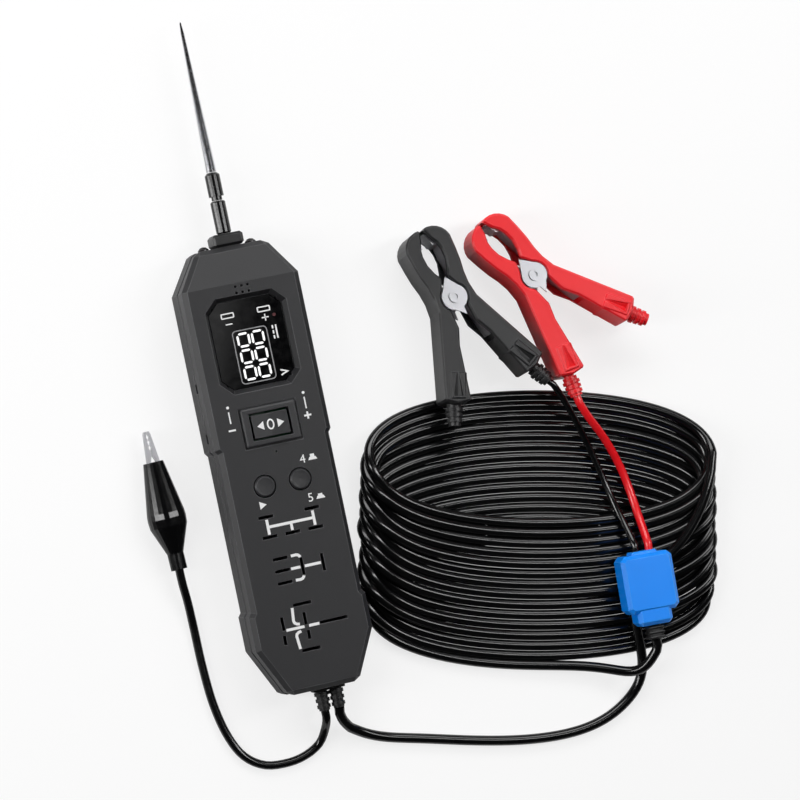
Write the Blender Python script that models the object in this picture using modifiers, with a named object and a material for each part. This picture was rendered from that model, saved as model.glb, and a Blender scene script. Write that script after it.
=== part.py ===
"""Relay tester: a hand-held probe with a needle, a small earth clip and a long
coiled supply lead with a fuse box and two battery clamps.

The tester lies on its back. +Y runs towards the needle, +Z out of its face,
and the origin is the centre of the tester's back face. All sizes in metres.
"""
import math

import bmesh
import bpy
from mathutils import Matrix, Vector

# Housing
BODY_HALF_WIDTH = 0.0247      # half width over the head
BODY_THICK = 0.0250           # back face to front face
BODY_TOP = 0.0920             # y of the needle end
BODY_FOOT = -0.0922           # y of the cable end
END_HALF_WIDTH = 0.0148       # half width of both cut-off ends
SHOULDER_Y = 0.0765           # where the head starts to narrow
HIP_Y = -0.0720               # where the foot starts to narrow
GRIP_TOP = 0.0095             # the grips are set in between these two
GRIP_FOOT = -0.0560
GRIP_DEPTH = 0.0012
GRIP_RAMP = 0.0016
WALL = 0.0022
PARTING_Z = 0.0134            # height of the seam between the two shells
SEAM = 0.0004
GAP = 0.0003                  # clearance between pieces that touch
EDGE = 0.0020                 # chamfer round the front face
FACET_DROP = 0.0038           # how far the head slopes down at its end
NOTCH_PLACES = (0.0375, 0.0165) # two small openings in the seam on the -X side
NOTCH_DEEP = 0.0009
NOTCH_LONG = 0.0040
NOTCH_TALL = 0.0036

# Face layout, measured from the origin
WINDOW_Y = 0.0518
WINDOW_HALF_X = 0.0172
WINDOW_HALF_Y = 0.0198
WINDOW_CORNER = 0.0052
WINDOW_SLOPE = 0.0016         # how far the recess narrows down to the window
WINDOW_SUNK = 0.0032          # window's front below the face
WINDOW_THICK = 0.0010
WINDOW_SEAT = 0.0018          # ledge that carries the window's rim
BEZEL_Y = 0.0175
BEZEL_SIZE = (0.0232, 0.0160)
BEZEL_RIM = (0.0040, 0.0030)  # flange past the neck, both sides together
BEZEL_THICK = 0.0016
BEZEL_SUNK = 0.0006           # the flange lies in a shallow pocket
BEZEL_MARGIN = 0.0006         # open groove round the flange
BEZEL_NECK = 0.0056
ROCKER_SIZE = (0.0150, 0.0094)
ROCKER_MARGIN = 0.0010        # open groove round the rocker
ROCKER_THICK = 0.0054
ROCKER_PROUD = 0.0008
ROCKER_DIP = 0.0003           # hollow in the middle of its face
ROCKER_FOOT = 0.0020          # half width of the foot that works the switch
ROCKER_DRAFT = 0.0006
BUTTON_Y = -0.0068
BUTTON_X = (-0.0075, 0.0075)
BUTTON_RADIUS = 0.0043
BUTTON_MARGIN = 0.0005        # open ring round each button
BUTTON_DISH = 0.0002          # hollow of the button's face
BUTTON_ROUND = 0.0006         # rounded rim of the button
BUTTON_TALL = 0.0052
BUTTON_PROUD = 0.0011
BUTTON_TRAVEL = 0.0009
BUZZER_Y = 0.0750
BUZZER_HOLE = 0.0006
BUZZER_PITCH = 0.0026
BUZZER_RADIUS = 0.0045
BUZZER_TALL = 0.0035
PINHOLE = (0.0001, 0.0061)    # small hole under the rocker
PINHOLE_RADIUS = 0.0004

# Relay slots: middle x, middle y, length along X, length along Y
SLOT_WIDE = 0.0013
SLOTS_UPPER = ((-0.0097, -0.0191, 0.0063, SLOT_WIDE), (0.0097, -0.0193, 0.0063, SLOT_WIDE),
               (-0.0097, -0.0274, 0.0063, SLOT_WIDE), (0.0, -0.0274, 0.0063, SLOT_WIDE),
               (0.0097, -0.0274, 0.0063, SLOT_WIDE))
SLOTS_MIDDLE = ((-0.0074, -0.0368, 0.0063, SLOT_WIDE), (-0.0074, -0.0418, 0.0063, SLOT_WIDE),
                (-0.0074, -0.0468, 0.0063, SLOT_WIDE), (0.0010, -0.0418, SLOT_WIDE, 0.0072),
                (0.0097, -0.0418, SLOT_WIDE, 0.0072))
SLOTS_LOWER = ((-0.0024, -0.0565, 0.0078, SLOT_WIDE), (0.0092, -0.0656, 0.0118, SLOT_WIDE),
               (-0.0024, -0.0753, 0.0078, SLOT_WIDE), (-0.0119, -0.0630, SLOT_WIDE, 0.0056),
               (-0.0123, -0.0697, SLOT_WIDE, 0.0038), (-0.0024, -0.0627, SLOT_WIDE, 0.0052),
               (-0.0021, -0.0694, SLOT_WIDE, 0.0037))
SOCKET_TALL = 0.0080
SOCKET_MARGIN = 0.0024

# Board and what it carries
BOARD_Z = 0.0090
BOARD_THICK = 0.0016
SWITCH_SIZE = 0.0060
ROCKER_SWITCH = (0.0120, 0.0088)
BOARD_INSET = 0.0008          # clearance from the housing's inner wall
NOTCH_REACH = 0.0100          # how far the board's notches run in from its ends

# Needle end
NOSE_HALF = 0.0064
NOSE_LONG = 0.0052
NOSE_Z = 0.0125
NOSE_EDGE = 0.0010
NOSE_NECK = 0.75              # neck in the end wall, share of the nose's width
NOSE_ROOT = 0.0050            # how far the neck runs into the housing
SLEEVE_RADIUS = 0.0031
SLEEVE_NECK = 0.0022
SLEEVE_LOWER = 0.0135
SLEEVE_UPPER = 0.0115
NEEDLE_RADIUS = 0.0020
NEEDLE_LONG = 0.0630
NEEDLE_TIP = 0.00035          # radius of the blunt point
NEEDLE_TAPER = 0.0050         # length of the sharper end
GROOVE = 0.0016               # length of the neck between the sleeves
SLEEVE_ROUND = 0.0005
LAMP_RADIUS = 0.0026
LAMP_X = 0.0100
LAMP_LONG = 0.0072
LAMP_SUNK = 0.0052            # part of the lamp inside the end wall
END_BORE = 0.0050             # half length of the cuts through the end walls

# Cable end
RELIEF_X = 0.0040
RELIEF_WIDE = 0.0135
RELIEF_LONG = 0.0095
RELIEF_RADIUS = 0.0032
RELIEF_PITCH = 0.0062         # between the two cables
RELIEF_Z = 0.0105
RELIEF_NECK = 0.80            # neck in the end wall, share of the flange
RELIEF_FLANGE = 0.0014
RELIEF_ROOT = 0.0047          # how far the neck runs into the housing
RELIEF_RIBS = 3
RIB_PITCH = 0.0026
RIB_LONG = 0.0014

# Screws in the back
SCREW_RADIUS = 0.0026
SCREW_LONG = 0.0070
SCREW_SUNK = 0.0016           # head below the back face
SCREW_CROSS = (0.0030, 0.0006, 0.0016)
SCREW_INSET = (0.0098, 0.0212)    # from the side and from the ends of the housing
SCREW_PLACES = [(side * (BODY_HALF_WIDTH - SCREW_INSET[0]), end)
                for end in (BODY_TOP - SCREW_INSET[1], BODY_FOOT + SCREW_INSET[1])
                for side in (-1, 1)]
BOSS_RADIUS = 0.0040

# Cables
MAIN_D = 0.0042
CLIP_LEAD_D = 0.0035
BLACK_LEAD_D = 0.0028
RED_LEAD_D = 0.0034
COIL_HALF_LONG = 0.0765
COIL_CLEAR = 0.0128               # room between the housing's side and the coil
COIL_CENTRE = (BODY_HALF_WIDTH + COIL_CLEAR + COIL_HALF_LONG, -0.0175)  # middle of the top turn
COIL_TURN = -0.2060               # radians, how the coil is turned on the floor
COIL_HALF_WIDE = 0.0270
COIL_SPREAD = 0.0585              # first turn to last turn
COIL_TALL = 0.0120
COIL_WAIST = 0.0045               # height of one layer, over the middle
COIL_FLAT = 0.0520                # half length of the low middle
COIL_SHOULDER = 0.0660            # where the piled ends reach their full height

# Fuse box
BOX_CENTRE = (0.1455, -0.0795)
BOX_TURN = -0.0400
BOX_SIZE = (0.0225, 0.0245, 0.0125)
BOX_EDGE = 0.0016
BOX_TAIL = (0.0150, 0.0055, 0.0115)
BOX_FLOOR = 0.0094
COLLAR_SIZE = (0.0064, 0.0060)
BOX_CORNER = 0.0020
BOX_LIP = (0.0112, 0.0012, 0.0078)  # raised mouth where the two leads go in
COLLAR_RIB = (0.0008, 0.0011) # how far a rib stands out, and how long it is
COLLAR_RIBS = 3

# Battery clamps, in their own frame with the pivot at the origin
CLAMP_WIDE = 0.0190
CLAMP_TILT = math.radians(5)  # handles rest on the coil, jaw tips on the floor
CLAMP_HANDLE = 0.0430
CLAMP_SPLAY = math.radians(25)
CLAMP_JAW = 0.0310
HANDLE_WIDE = 0.0110
EYE_RADIUS = 0.0056
RIVET_RADIUS = 0.0018
PLATE = 0.0010
CLAMP_RELIEF_LONG = 0.0085
CLAMP_RELIEF_RADIUS = 0.0037
CLAMP_ROOT = 0.0022           # radius of the relief's root in the handle
CLAMP_EDGE = 0.0007
CLAMP_FACE = 0.0002           # outer lugs lie this far under the arm's face
PAD_LONG = 0.0125             # raised pad at the end of each handle
PAD_WIDE = 0.0078
PAD_PROUD = 0.0006
RIVET_HEAD = 0.0025
RIVET_HOLLOW = 0.0012
RIVET_PROUD = 0.0006
BLACK_PIVOT = (0.0880, 0.0526)
BLACK_AXIS = math.radians(104)
RED_PIVOT = (0.1238, 0.0551)
RED_AXIS = math.radians(124)
POCKET_WALL = 0.0032
SPRING_RADIUS = 0.0036

# Small clip, in its own frame with the pivot at the origin and the jaws along +Y
CLIP_PIVOT = (-0.0472, 0.0080, 0.0072)
CLIP_AXIS = math.radians(92)
CLIP_WIDE = 0.0032
CLIP_JAW = 0.0168
CLIP_TAIL = 0.0165
CLIP_PIN = 0.0007
CLIP_LUG = 0.0019
BOOT_MOUTH = 0.0042
BOOT_MOUTH_Y = 0.0040         # mouth ahead of the pivot
BOOT_WIDE = 0.0080
BOOT_NECK = 0.0034
BOOT_FOOT = -0.0410           # cable end of the boot's sleeve
BOOT_WALL = 0.0005            # at the mouth
BOOT_FLAT = 0.88

while bpy.data.objects:
    bpy.data.objects.remove(bpy.data.objects[0], do_unlink=True)

PARTS = bpy.data.collections.new("relay_tester")
CUTTERS = bpy.data.collections.new("cutters")
bpy.context.scene.collection.children.link(PARTS)
bpy.context.scene.collection.children.link(CUTTERS)


def finish_material(name, colour, roughness, metallic=0.0):
    """One plain Principled material from a linear colour."""
    material = bpy.data.materials.new(name)
    material.use_nodes = True
    shader = material.node_tree.nodes["Principled BSDF"]
    shader.inputs["Base Color"].default_value = (*colour, 1.0)
    shader.inputs["Roughness"].default_value = roughness
    shader.inputs["Metallic"].default_value = metallic
    return material


HOUSING = finish_material("housing_black", (0.038, 0.038, 0.040), 0.55)
KEYS = finish_material("key_black", (0.020, 0.020, 0.022), 0.50)
WINDOW = finish_material("window_black", (0.004, 0.004, 0.005), 0.08)
METAL = finish_material("bright_metal", (0.72, 0.72, 0.74), 0.22, 1.0)
BOARD = finish_material("board_green", (0.010, 0.085, 0.040), 0.45)
INSIDE = finish_material("inside_grey", (0.060, 0.060, 0.060), 0.60)
RUBBER = finish_material("soft_black", (0.012, 0.012, 0.013), 0.45)
CABLE = finish_material("cable_black", (0.006, 0.006, 0.006), 0.22)
RED = finish_material("moulded_red", (0.800, 0.030, 0.035), 0.45)
BLACK = finish_material("moulded_black", (0.030, 0.031, 0.033), 0.50)
BLUE = finish_material("moulded_blue", (0.004, 0.240, 0.850), 0.40)
LAMP = finish_material("lamp_dark", (0.012, 0.010, 0.010), 0.15)


def new_object(name, mesh, material=None, cutter=False):
    mesh.name = name
    made = bpy.data.objects.new(name, mesh)
    if cutter:
        CUTTERS.objects.link(made)
        made.hide_render = True
        made.display_type = "WIRE"
    else:
        PARTS.objects.link(made)
        mesh.materials.append(material)
    return made


def mesh_from(bm):
    mesh = bpy.data.meshes.new("form")
    bm.to_mesh(mesh)
    bm.free()
    return mesh


def block(name, centre, size, material=None, cutter=False, bevel=0.0):
    """A box with an optional small chamfer."""
    bm = bmesh.new()
    bmesh.ops.create_cube(bm, size=1.0)
    bmesh.ops.scale(bm, vec=size, verts=bm.verts)
    bmesh.ops.translate(bm, vec=centre, verts=bm.verts)
    made = new_object(name, mesh_from(bm), material, cutter)
    if bevel:
        add_bevel(made, bevel)
    return made


def rod(name, start, end, radius, material=None, cutter=False, sides=20, tip=None):
    """A straight round bar, or a cone where the tip radius differs."""
    start, end = Vector(start), Vector(end)
    along = end - start
    bm = bmesh.new()
    bmesh.ops.create_cone(bm, cap_ends=True, segments=sides, radius1=radius,
                          radius2=radius if tip is None else tip, depth=along.length)
    turn = along.to_track_quat("Z", "Y").to_matrix().to_4x4()
    bmesh.ops.transform(bm, matrix=Matrix.Translation((start + end) / 2) @ turn, verts=bm.verts)
    made = new_object(name, mesh_from(bm), material, cutter)
    made.data.shade_smooth()
    made.data.set_sharp_from_angle(angle=math.radians(35))
    return made


def plate(name, outline, low, high, material=None, cutter=False, bevel=0.0):
    """A flat outline given a thickness between two heights."""
    curve = bpy.data.curves.new(name, "CURVE")
    curve.dimensions = "2D"
    curve.fill_mode = "BOTH"
    curve.extrude = (high - low) / 2
    spline = curve.splines.new("POLY")
    spline.points.add(len(outline) - 1)
    for point, (x, y) in zip(spline.points, outline):
        point.co = (x, y, 0.0, 1.0)
    spline.use_cyclic_u = True
    holder = bpy.data.objects.new(name, curve)
    PARTS.objects.link(holder)
    bpy.context.view_layer.update()
    mesh = bpy.data.meshes.new_from_object(holder.evaluated_get(bpy.context.evaluated_depsgraph_get()))
    bpy.data.objects.remove(holder)
    bm = bmesh.new()
    bm.from_mesh(mesh)
    bmesh.ops.remove_doubles(bm, verts=bm.verts, dist=1e-6)
    bmesh.ops.translate(bm, vec=(0, 0, (low + high) / 2), verts=bm.verts)
    bmesh.ops.dissolve_limit(bm, angle_limit=math.radians(1), verts=bm.verts, edges=bm.edges)
    bmesh.ops.recalc_face_normals(bm, faces=bm.faces)
    bm.to_mesh(mesh)
    bm.free()
    mesh.materials.clear()
    made = new_object(name, mesh, material, cutter)
    if bevel:
        add_bevel(made, bevel)
    return made


def turned(name, profile, material, matrix=None, sides=24, ring=False):
    """A turned piece about +Z from a profile that runs top to bottom at +X."""
    mesh = bpy.data.meshes.new(name)
    points = [(radius, 0.0, height) for radius, height in profile]
    edges = [(i, i + 1) for i in range(len(points) - 1)]
    if ring:
        edges.append((len(points) - 1, 0))
    mesh.from_pydata(points, edges, [])
    made = new_object(name, mesh, material)
    screw = made.modifiers.new("turn", "SCREW")
    screw.steps = screw.render_steps = sides
    screw.use_merge_vertices = True
    screw.merge_threshold = 0.00001
    screw.use_smooth_shade = True
    if matrix is not None:
        made.matrix_world = matrix
    return made


def add_bevel(made, width, segments=1, angle=40):
    bevel = made.modifiers.new("edges", "BEVEL")
    bevel.width = width
    bevel.segments = segments
    bevel.limit_method = "ANGLE"
    bevel.angle_limit = math.radians(angle)
    return bevel


def combine(made, other, operation="DIFFERENCE"):
    """Cut another shape out of this one, or join it on."""
    boolean = made.modifiers.new(operation.lower(), "BOOLEAN")
    boolean.operation = operation
    boolean.object = other
    boolean.solver = "EXACT"
    return made


def cable(name, points, diameter, material, sides=2):
    """A cable on a smooth curve read at even steps."""
    curve = bpy.data.curves.new(name, "CURVE")
    curve.dimensions = "3D"
    curve.bevel_depth = diameter / 2
    curve.bevel_resolution = sides
    curve.use_fill_caps = True
    spline = curve.splines.new("POLY")
    spline.points.add(len(points) - 1)
    for point, place in zip(spline.points, points):
        point.co = (*place, 1.0)
    made = bpy.data.objects.new(name, curve)
    PARTS.objects.link(made)
    curve.materials.append(material)
    return made


def smooth_route(points, step):
    """Catmull-Rom curve through the route's own points, read every step."""
    points = [Vector(p) for p in points]
    padded = [2 * points[0] - points[1]] + points + [2 * points[-1] - points[-2]]
    fine = []
    for a, b, c, d in zip(padded, padded[1:], padded[2:], padded[3:]):
        for i in range(24):
            t = i / 24
            fine.append(0.5 * (2 * b + (c - a) * t + (2 * a - 5 * b + 4 * c - d) * t * t
                               + (3 * b - a - 3 * c + d) * t ** 3))
    fine.append(points[-1])
    lengths = [0.0]
    for a, b in zip(fine, fine[1:]):
        lengths.append(lengths[-1] + (b - a).length)
    count = max(2, round(lengths[-1] / step))
    route, k = [], 0
    for i in range(count + 1):
        wanted = lengths[-1] * i / count
        while k < len(fine) - 2 and lengths[k + 1] < wanted:
            k += 1
        share = (wanted - lengths[k]) / max(lengths[k + 1] - lengths[k], 1e-9)
        route.append(fine[k].lerp(fine[k + 1], min(share, 1.0)))
    return route


def arc(cx, cy, radius, start, end, count):
    """Points on a round stretch, angles in degrees."""
    step = (end - start) / (count - 1)
    return [(cx + radius * math.cos(math.radians(start + step * i)),
             cy + radius * math.sin(math.radians(start + step * i))) for i in range(count)]


def mirrored(half):
    """Close an outline from its +X half, given from top to bottom."""
    return half + [(-x, y) for x, y in reversed(half)]


# The housing outline, +X half, from the needle end to the cable end
HOUSING_HALF = [(END_HALF_WIDTH, BODY_TOP), (BODY_HALF_WIDTH, SHOULDER_Y),
                (BODY_HALF_WIDTH, GRIP_TOP + GRIP_RAMP),
                (BODY_HALF_WIDTH - GRIP_DEPTH, GRIP_TOP),
                (BODY_HALF_WIDTH - GRIP_DEPTH, GRIP_FOOT),
                (BODY_HALF_WIDTH, GRIP_FOOT - GRIP_RAMP),
                (BODY_HALF_WIDTH, HIP_Y), (END_HALF_WIDTH, BODY_FOOT)]
INNER_HALF = [(END_HALF_WIDTH - WALL * 0.6, BODY_TOP - WALL),
              (BODY_HALF_WIDTH - GRIP_DEPTH - WALL, SHOULDER_Y - WALL * 0.6),
              (BODY_HALF_WIDTH - GRIP_DEPTH - WALL, HIP_Y + WALL * 0.6),
              (END_HALF_WIDTH - WALL * 0.6, BODY_FOOT + WALL)]


def make_rear_shell():
    """Back half of the housing: a tray with screw bosses."""
    shell = plate("rear_shell", mirrored(HOUSING_HALF), 0.0, PARTING_Z - SEAM / 2, HOUSING)
    add_bevel(shell, EDGE * 0.6)
    cavity = plate("rear_cavity", mirrored(INNER_HALF), WALL, BODY_THICK, cutter=True)
    combine(shell, cavity)
    for number, (x, y) in enumerate(SCREW_PLACES, 1):
        boss = rod("boss_%d" % number, (x, y, WALL / 2), (x, y, BOARD_Z - GAP), BOSS_RADIUS,
                   cutter=True, sides=16)
        combine(shell, boss, "UNION")
        well = rod("screw_well_%d" % number, (x, y, -WALL), (x, y, SCREW_LONG + GAP),
                   SCREW_RADIUS + GAP, cutter=True, sides=16)
        combine(shell, well)
    for number, y in enumerate(NOTCH_PLACES, 1):
        combine(shell, block("seam_notch_%d" % number, (-BODY_HALF_WIDTH, y, PARTING_Z),
                             (2 * NOTCH_DEEP, NOTCH_LONG, NOTCH_TALL), cutter=True))
    combine(shell, nose_bore())
    combine(shell, relief_slot())
    for side in (-1, 1):
        combine(shell, lamp_bore(side))
    return shell


def nose_bore():
    """Square passage for the nose in the needle end wall."""
    half = NOSE_HALF * NOSE_NECK + GAP
    return block("nose_bore_%d" % len(CUTTERS.objects), (0, BODY_TOP, NOSE_Z),
                 (2 * half, 2 * END_BORE, 2 * half), cutter=True)


def relief_slot():
    """Passage for the strain relief's neck in the cable end wall."""
    wide = RELIEF_WIDE * RELIEF_NECK + 2 * GAP
    tall = 2 * (RELIEF_RADIUS * RELIEF_NECK + GAP)
    return block("relief_slot_%d" % len(CUTTERS.objects), (RELIEF_X, BODY_FOOT, RELIEF_Z),
                 (wide, 2 * END_BORE, tall), cutter=True)


def lamp_bore(side):
    start = BODY_TOP - LAMP_SUNK - GAP
    return rod("lamp_bore_%d" % len(CUTTERS.objects), (side * LAMP_X, start, NOSE_Z),
               (side * LAMP_X, BODY_TOP + END_BORE, NOSE_Z), LAMP_RADIUS + GAP, cutter=True, sides=16)


def octagon(half_x, half_y, corner, middle_y):
    half = [(half_x - corner, half_y), (half_x, half_y - corner), (half_x, -half_y + corner),
            (half_x - corner, -half_y)]
    return [(x, y + middle_y) for x, y in mirrored(half)]


def make_front_shell():
    """Front half of the housing, with every opening of the face."""
    base = PARTING_Z + SEAM / 2
    shell = plate("front_shell", mirrored(HOUSING_HALF), base, BODY_THICK, HOUSING)
    # The block's near lower edge lies on the line where the head starts to slope
    slope = math.atan2(FACET_DROP, BODY_TOP - SHOULDER_Y)
    reach = 2 * (BODY_TOP - SHOULDER_Y)
    facet = block("head_facet", (0, reach / 2, FACET_DROP), (3 * BODY_HALF_WIDTH, reach, 2 * FACET_DROP),
                  cutter=True)
    facet.rotation_euler = (-slope, 0, 0)
    facet.location = (0, SHOULDER_Y, BODY_THICK)
    combine(shell, facet)
    add_bevel(shell, EDGE, 1, 40)
    cavity = plate("front_cavity", mirrored(INNER_HALF), 0.0, BODY_THICK - WALL - FACET_DROP,
                   cutter=True)
    combine(shell, cavity)
    combine(shell, window_funnel())
    window_bed = plate("window_bed", window_outline(0.0), window_back() - GAP, BODY_THICK - WINDOW_SUNK,
                       cutter=True)
    combine(shell, window_bed)
    combine(shell, block("window_light", (0, WINDOW_Y, BODY_THICK),
                         (*window_light(), BODY_THICK), cutter=True))
    pocket = [size + 2 * BEZEL_MARGIN for size in BEZEL_SIZE]
    combine(shell, block("bezel_pocket", (0, BEZEL_Y, BODY_THICK), (*pocket, 2 * BEZEL_SUNK), cutter=True))
    opening = [size - rim for size, rim in zip(BEZEL_SIZE, BEZEL_RIM)]
    combine(shell, block("bezel_light", (0, BEZEL_Y, BODY_THICK), (*opening, BODY_THICK), cutter=True))
    for x in BUTTON_X:
        bore = rod("button_bore_%d" % (x > 0), (x, BUTTON_Y, BODY_THICK / 2),
                   (x, BUTTON_Y, BODY_THICK + WALL), BUTTON_RADIUS + BUTTON_MARGIN, cutter=True, sides=28)
        combine(shell, bore)
    holes = [(column * BUZZER_PITCH, BUZZER_Y - row * BUZZER_PITCH, BUZZER_HOLE)
             for row in (0, 1) for column in (-1, 0, 1)]
    for number, (x, y, radius) in enumerate(holes + [(*PINHOLE, PINHOLE_RADIUS)], 1):
        combine(shell, rod("small_hole_%d" % number, (x, y, BODY_THICK / 2), (x, y, BODY_THICK + WALL),
                           radius, cutter=True, sides=8))
    for number, (x, y, *size) in enumerate(SLOTS_UPPER + SLOTS_MIDDLE + SLOTS_LOWER, 1):
        combine(shell, block("slot_%d" % number, (x, y, BODY_THICK), (*size, BODY_THICK), cutter=True))
    combine(shell, nose_bore())
    combine(shell, relief_slot())
    for side in (-1, 1):
        combine(shell, lamp_bore(side))
    return shell


FACE_UNDER = BODY_THICK - WALL - FACET_DROP     # inner side of the face


def window_outline(less):
    """Octagon at the foot of the recess's sloping wall, stepped in by a little more."""
    inset = WINDOW_SLOPE + less
    return octagon(WINDOW_HALF_X - inset, WINDOW_HALF_Y - inset, WINDOW_CORNER - inset * 0.4, WINDOW_Y)


def window_back():
    return BODY_THICK - WINDOW_SUNK - WINDOW_THICK


def window_light():
    """Opening behind the window, inside the ledge that carries it."""
    return [2 * (half - WINDOW_SLOPE - WINDOW_SEAT) for half in (WINDOW_HALF_X, WINDOW_HALF_Y)]


def window_funnel():
    """Cutter for the recess: it narrows from the face down to the window."""
    upper = octagon(WINDOW_HALF_X, WINDOW_HALF_Y, WINDOW_CORNER, WINDOW_Y)
    bm = bmesh.new()
    rings = []
    for outline, height in ((window_outline(0.0), BODY_THICK - WINDOW_SUNK), (upper, BODY_THICK),
                            (upper, BODY_THICK + WALL)):
        rings.append([bm.verts.new((x, y, height)) for x, y in outline])
    for below, above in zip(rings, rings[1:]):
        for i in range(len(below)):
            k = (i + 1) % len(below)
            bm.faces.new((below[i], below[k], above[k], above[i]))
    bm.faces.new(rings[0])
    bm.faces.new(rings[-1])
    bmesh.ops.recalc_face_normals(bm, faces=bm.faces)
    return new_object("window_funnel", mesh_from(bm), cutter=True)


def make_display():
    """Smoked window in its recess, and the display module behind it."""
    plate("display_window", window_outline(GAP), window_back(), BODY_THICK - WINDOW_SUNK, WINDOW)
    low, high = BOARD_Z + BOARD_THICK + GAP, window_back() - GAP
    size = [side - 2 * GAP for side in window_light()]
    block("display_module", (0, WINDOW_Y, (low + high) / 2), (*size, high - low), INSIDE)


def make_rocker():
    """Bezel, the switch under it and the rocker that tips both ways."""
    wide, tall = BEZEL_SIZE
    base = BODY_THICK - BEZEL_SUNK + GAP
    bezel = block("rocker_bezel", (0, BEZEL_Y, base + BEZEL_THICK / 2), (wide, tall, BEZEL_THICK), KEYS)
    add_bevel(bezel, BEZEL_THICK * 0.6, 2, 80)
    neck = block("bezel_neck", (0, BEZEL_Y, base + (BEZEL_THICK - BEZEL_NECK) / 2),
                 (wide - BEZEL_RIM[0] - 2 * GAP, tall - BEZEL_RIM[1] - 2 * GAP, BEZEL_NECK), cutter=True)
    combine(bezel, neck, "UNION")
    well = [size + 2 * ROCKER_MARGIN for size in ROCKER_SIZE]
    combine(bezel, block("rocker_well", (0, BEZEL_Y, BODY_THICK), (*well, BODY_THICK), cutter=True))
    half = ROCKER_SIZE[0] / 2
    top = BODY_THICK + ROCKER_PROUD
    under = top - ROCKER_THICK * 0.8
    foot = top - ROCKER_THICK
    right = [(half, top), (half - ROCKER_DRAFT, under), (ROCKER_FOOT * 1.3, under), (ROCKER_FOOT, foot)]
    rocker = plate("rocker", [(0.0, top - ROCKER_DIP)] + mirrored(right), -ROCKER_SIZE[1] / 2,
                   ROCKER_SIZE[1] / 2, KEYS)
    rocker.data.transform(Matrix.Rotation(math.radians(90), 4, "X"))
    rocker.data.transform(Matrix.Translation((0, BEZEL_Y, 0)))
    low = BOARD_Z + BOARD_THICK + GAP
    high = foot - GAP
    block("rocker_switch", (0, BEZEL_Y, (low + high) / 2), (*ROCKER_SWITCH, high - low), INSIDE)


def make_buttons():
    """Two round push buttons and the switches they press."""
    low = BOARD_Z + BOARD_THICK + GAP
    top = BODY_THICK + BUTTON_PROUD
    for name, x in zip(("test_button", "pin_button"), BUTTON_X):
        foot = top - BUTTON_TALL
        profile = [(0.0, BUTTON_TALL - BUTTON_DISH), (BUTTON_RADIUS * 0.62, BUTTON_TALL - BUTTON_DISH / 2),
                   (BUTTON_RADIUS - BUTTON_ROUND, BUTTON_TALL), (BUTTON_RADIUS, BUTTON_TALL - BUTTON_ROUND),
                   (BUTTON_RADIUS, 0.0), (0.0, 0.0)]
        turned(name, profile, KEYS, Matrix.Translation((x, BUTTON_Y, foot)), 28)
        high = foot - BUTTON_TRAVEL - GAP
        block(name.replace("button", "switch"), (x, BUTTON_Y, (low + high) / 2),
              (SWITCH_SIZE, SWITCH_SIZE, high - low), INSIDE)


def make_board():
    """Circuit board held on the screw bosses, with the buzzer on it."""
    half = [(x - BOARD_INSET, y - math.copysign(BOARD_INSET, y)) for x, y in INNER_HALF]
    board = plate("main_board", mirrored(half), BOARD_Z, BOARD_Z + BOARD_THICK, BOARD)
    top_wide = 2 * (LAMP_X + LAMP_RADIUS + BOARD_INSET)
    foot_wide = RELIEF_WIDE + 2 * BOARD_INSET
    for name, x, y, wide in (("top", 0.0, BODY_TOP, top_wide), ("foot", RELIEF_X, BODY_FOOT, foot_wide)):
        combine(board, block("board_%s_notch" % name, (x, y, BOARD_Z), (wide, 2 * NOTCH_REACH, NOTCH_REACH),
                             cutter=True))
    low = FACE_UNDER - GAP - BUZZER_TALL
    middle = BUZZER_Y - BUZZER_PITCH / 2
    rod("buzzer", (0, middle, low), (0, middle, FACE_UNDER - GAP), BUZZER_RADIUS, INSIDE, sides=24)


def make_sockets():
    """Contact blocks under the three groups of relay slots."""
    for name, slots in (("relay_socket_upper", SLOTS_UPPER), ("relay_socket_middle", SLOTS_MIDDLE),
                        ("relay_socket_lower", SLOTS_LOWER)):
        left = min(x - wide / 2 for x, y, wide, tall in slots) - SOCKET_MARGIN
        right = max(x + wide / 2 for x, y, wide, tall in slots) + SOCKET_MARGIN
        foot = min(y - tall / 2 for x, y, wide, tall in slots) - SOCKET_MARGIN
        head = max(y + tall / 2 for x, y, wide, tall in slots) + SOCKET_MARGIN
        top = FACE_UNDER - GAP
        socket = block(name, ((left + right) / 2, (foot + head) / 2, top - SOCKET_TALL / 2),
                       (right - left, head - foot, SOCKET_TALL), INSIDE)
        for number, (x, y, *size) in enumerate(slots, 1):
            combine(socket, block("%s_slot_%d" % (name, number), (x, y, top),
                                  (*size, 1.5 * SOCKET_TALL), cutter=True))


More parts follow.
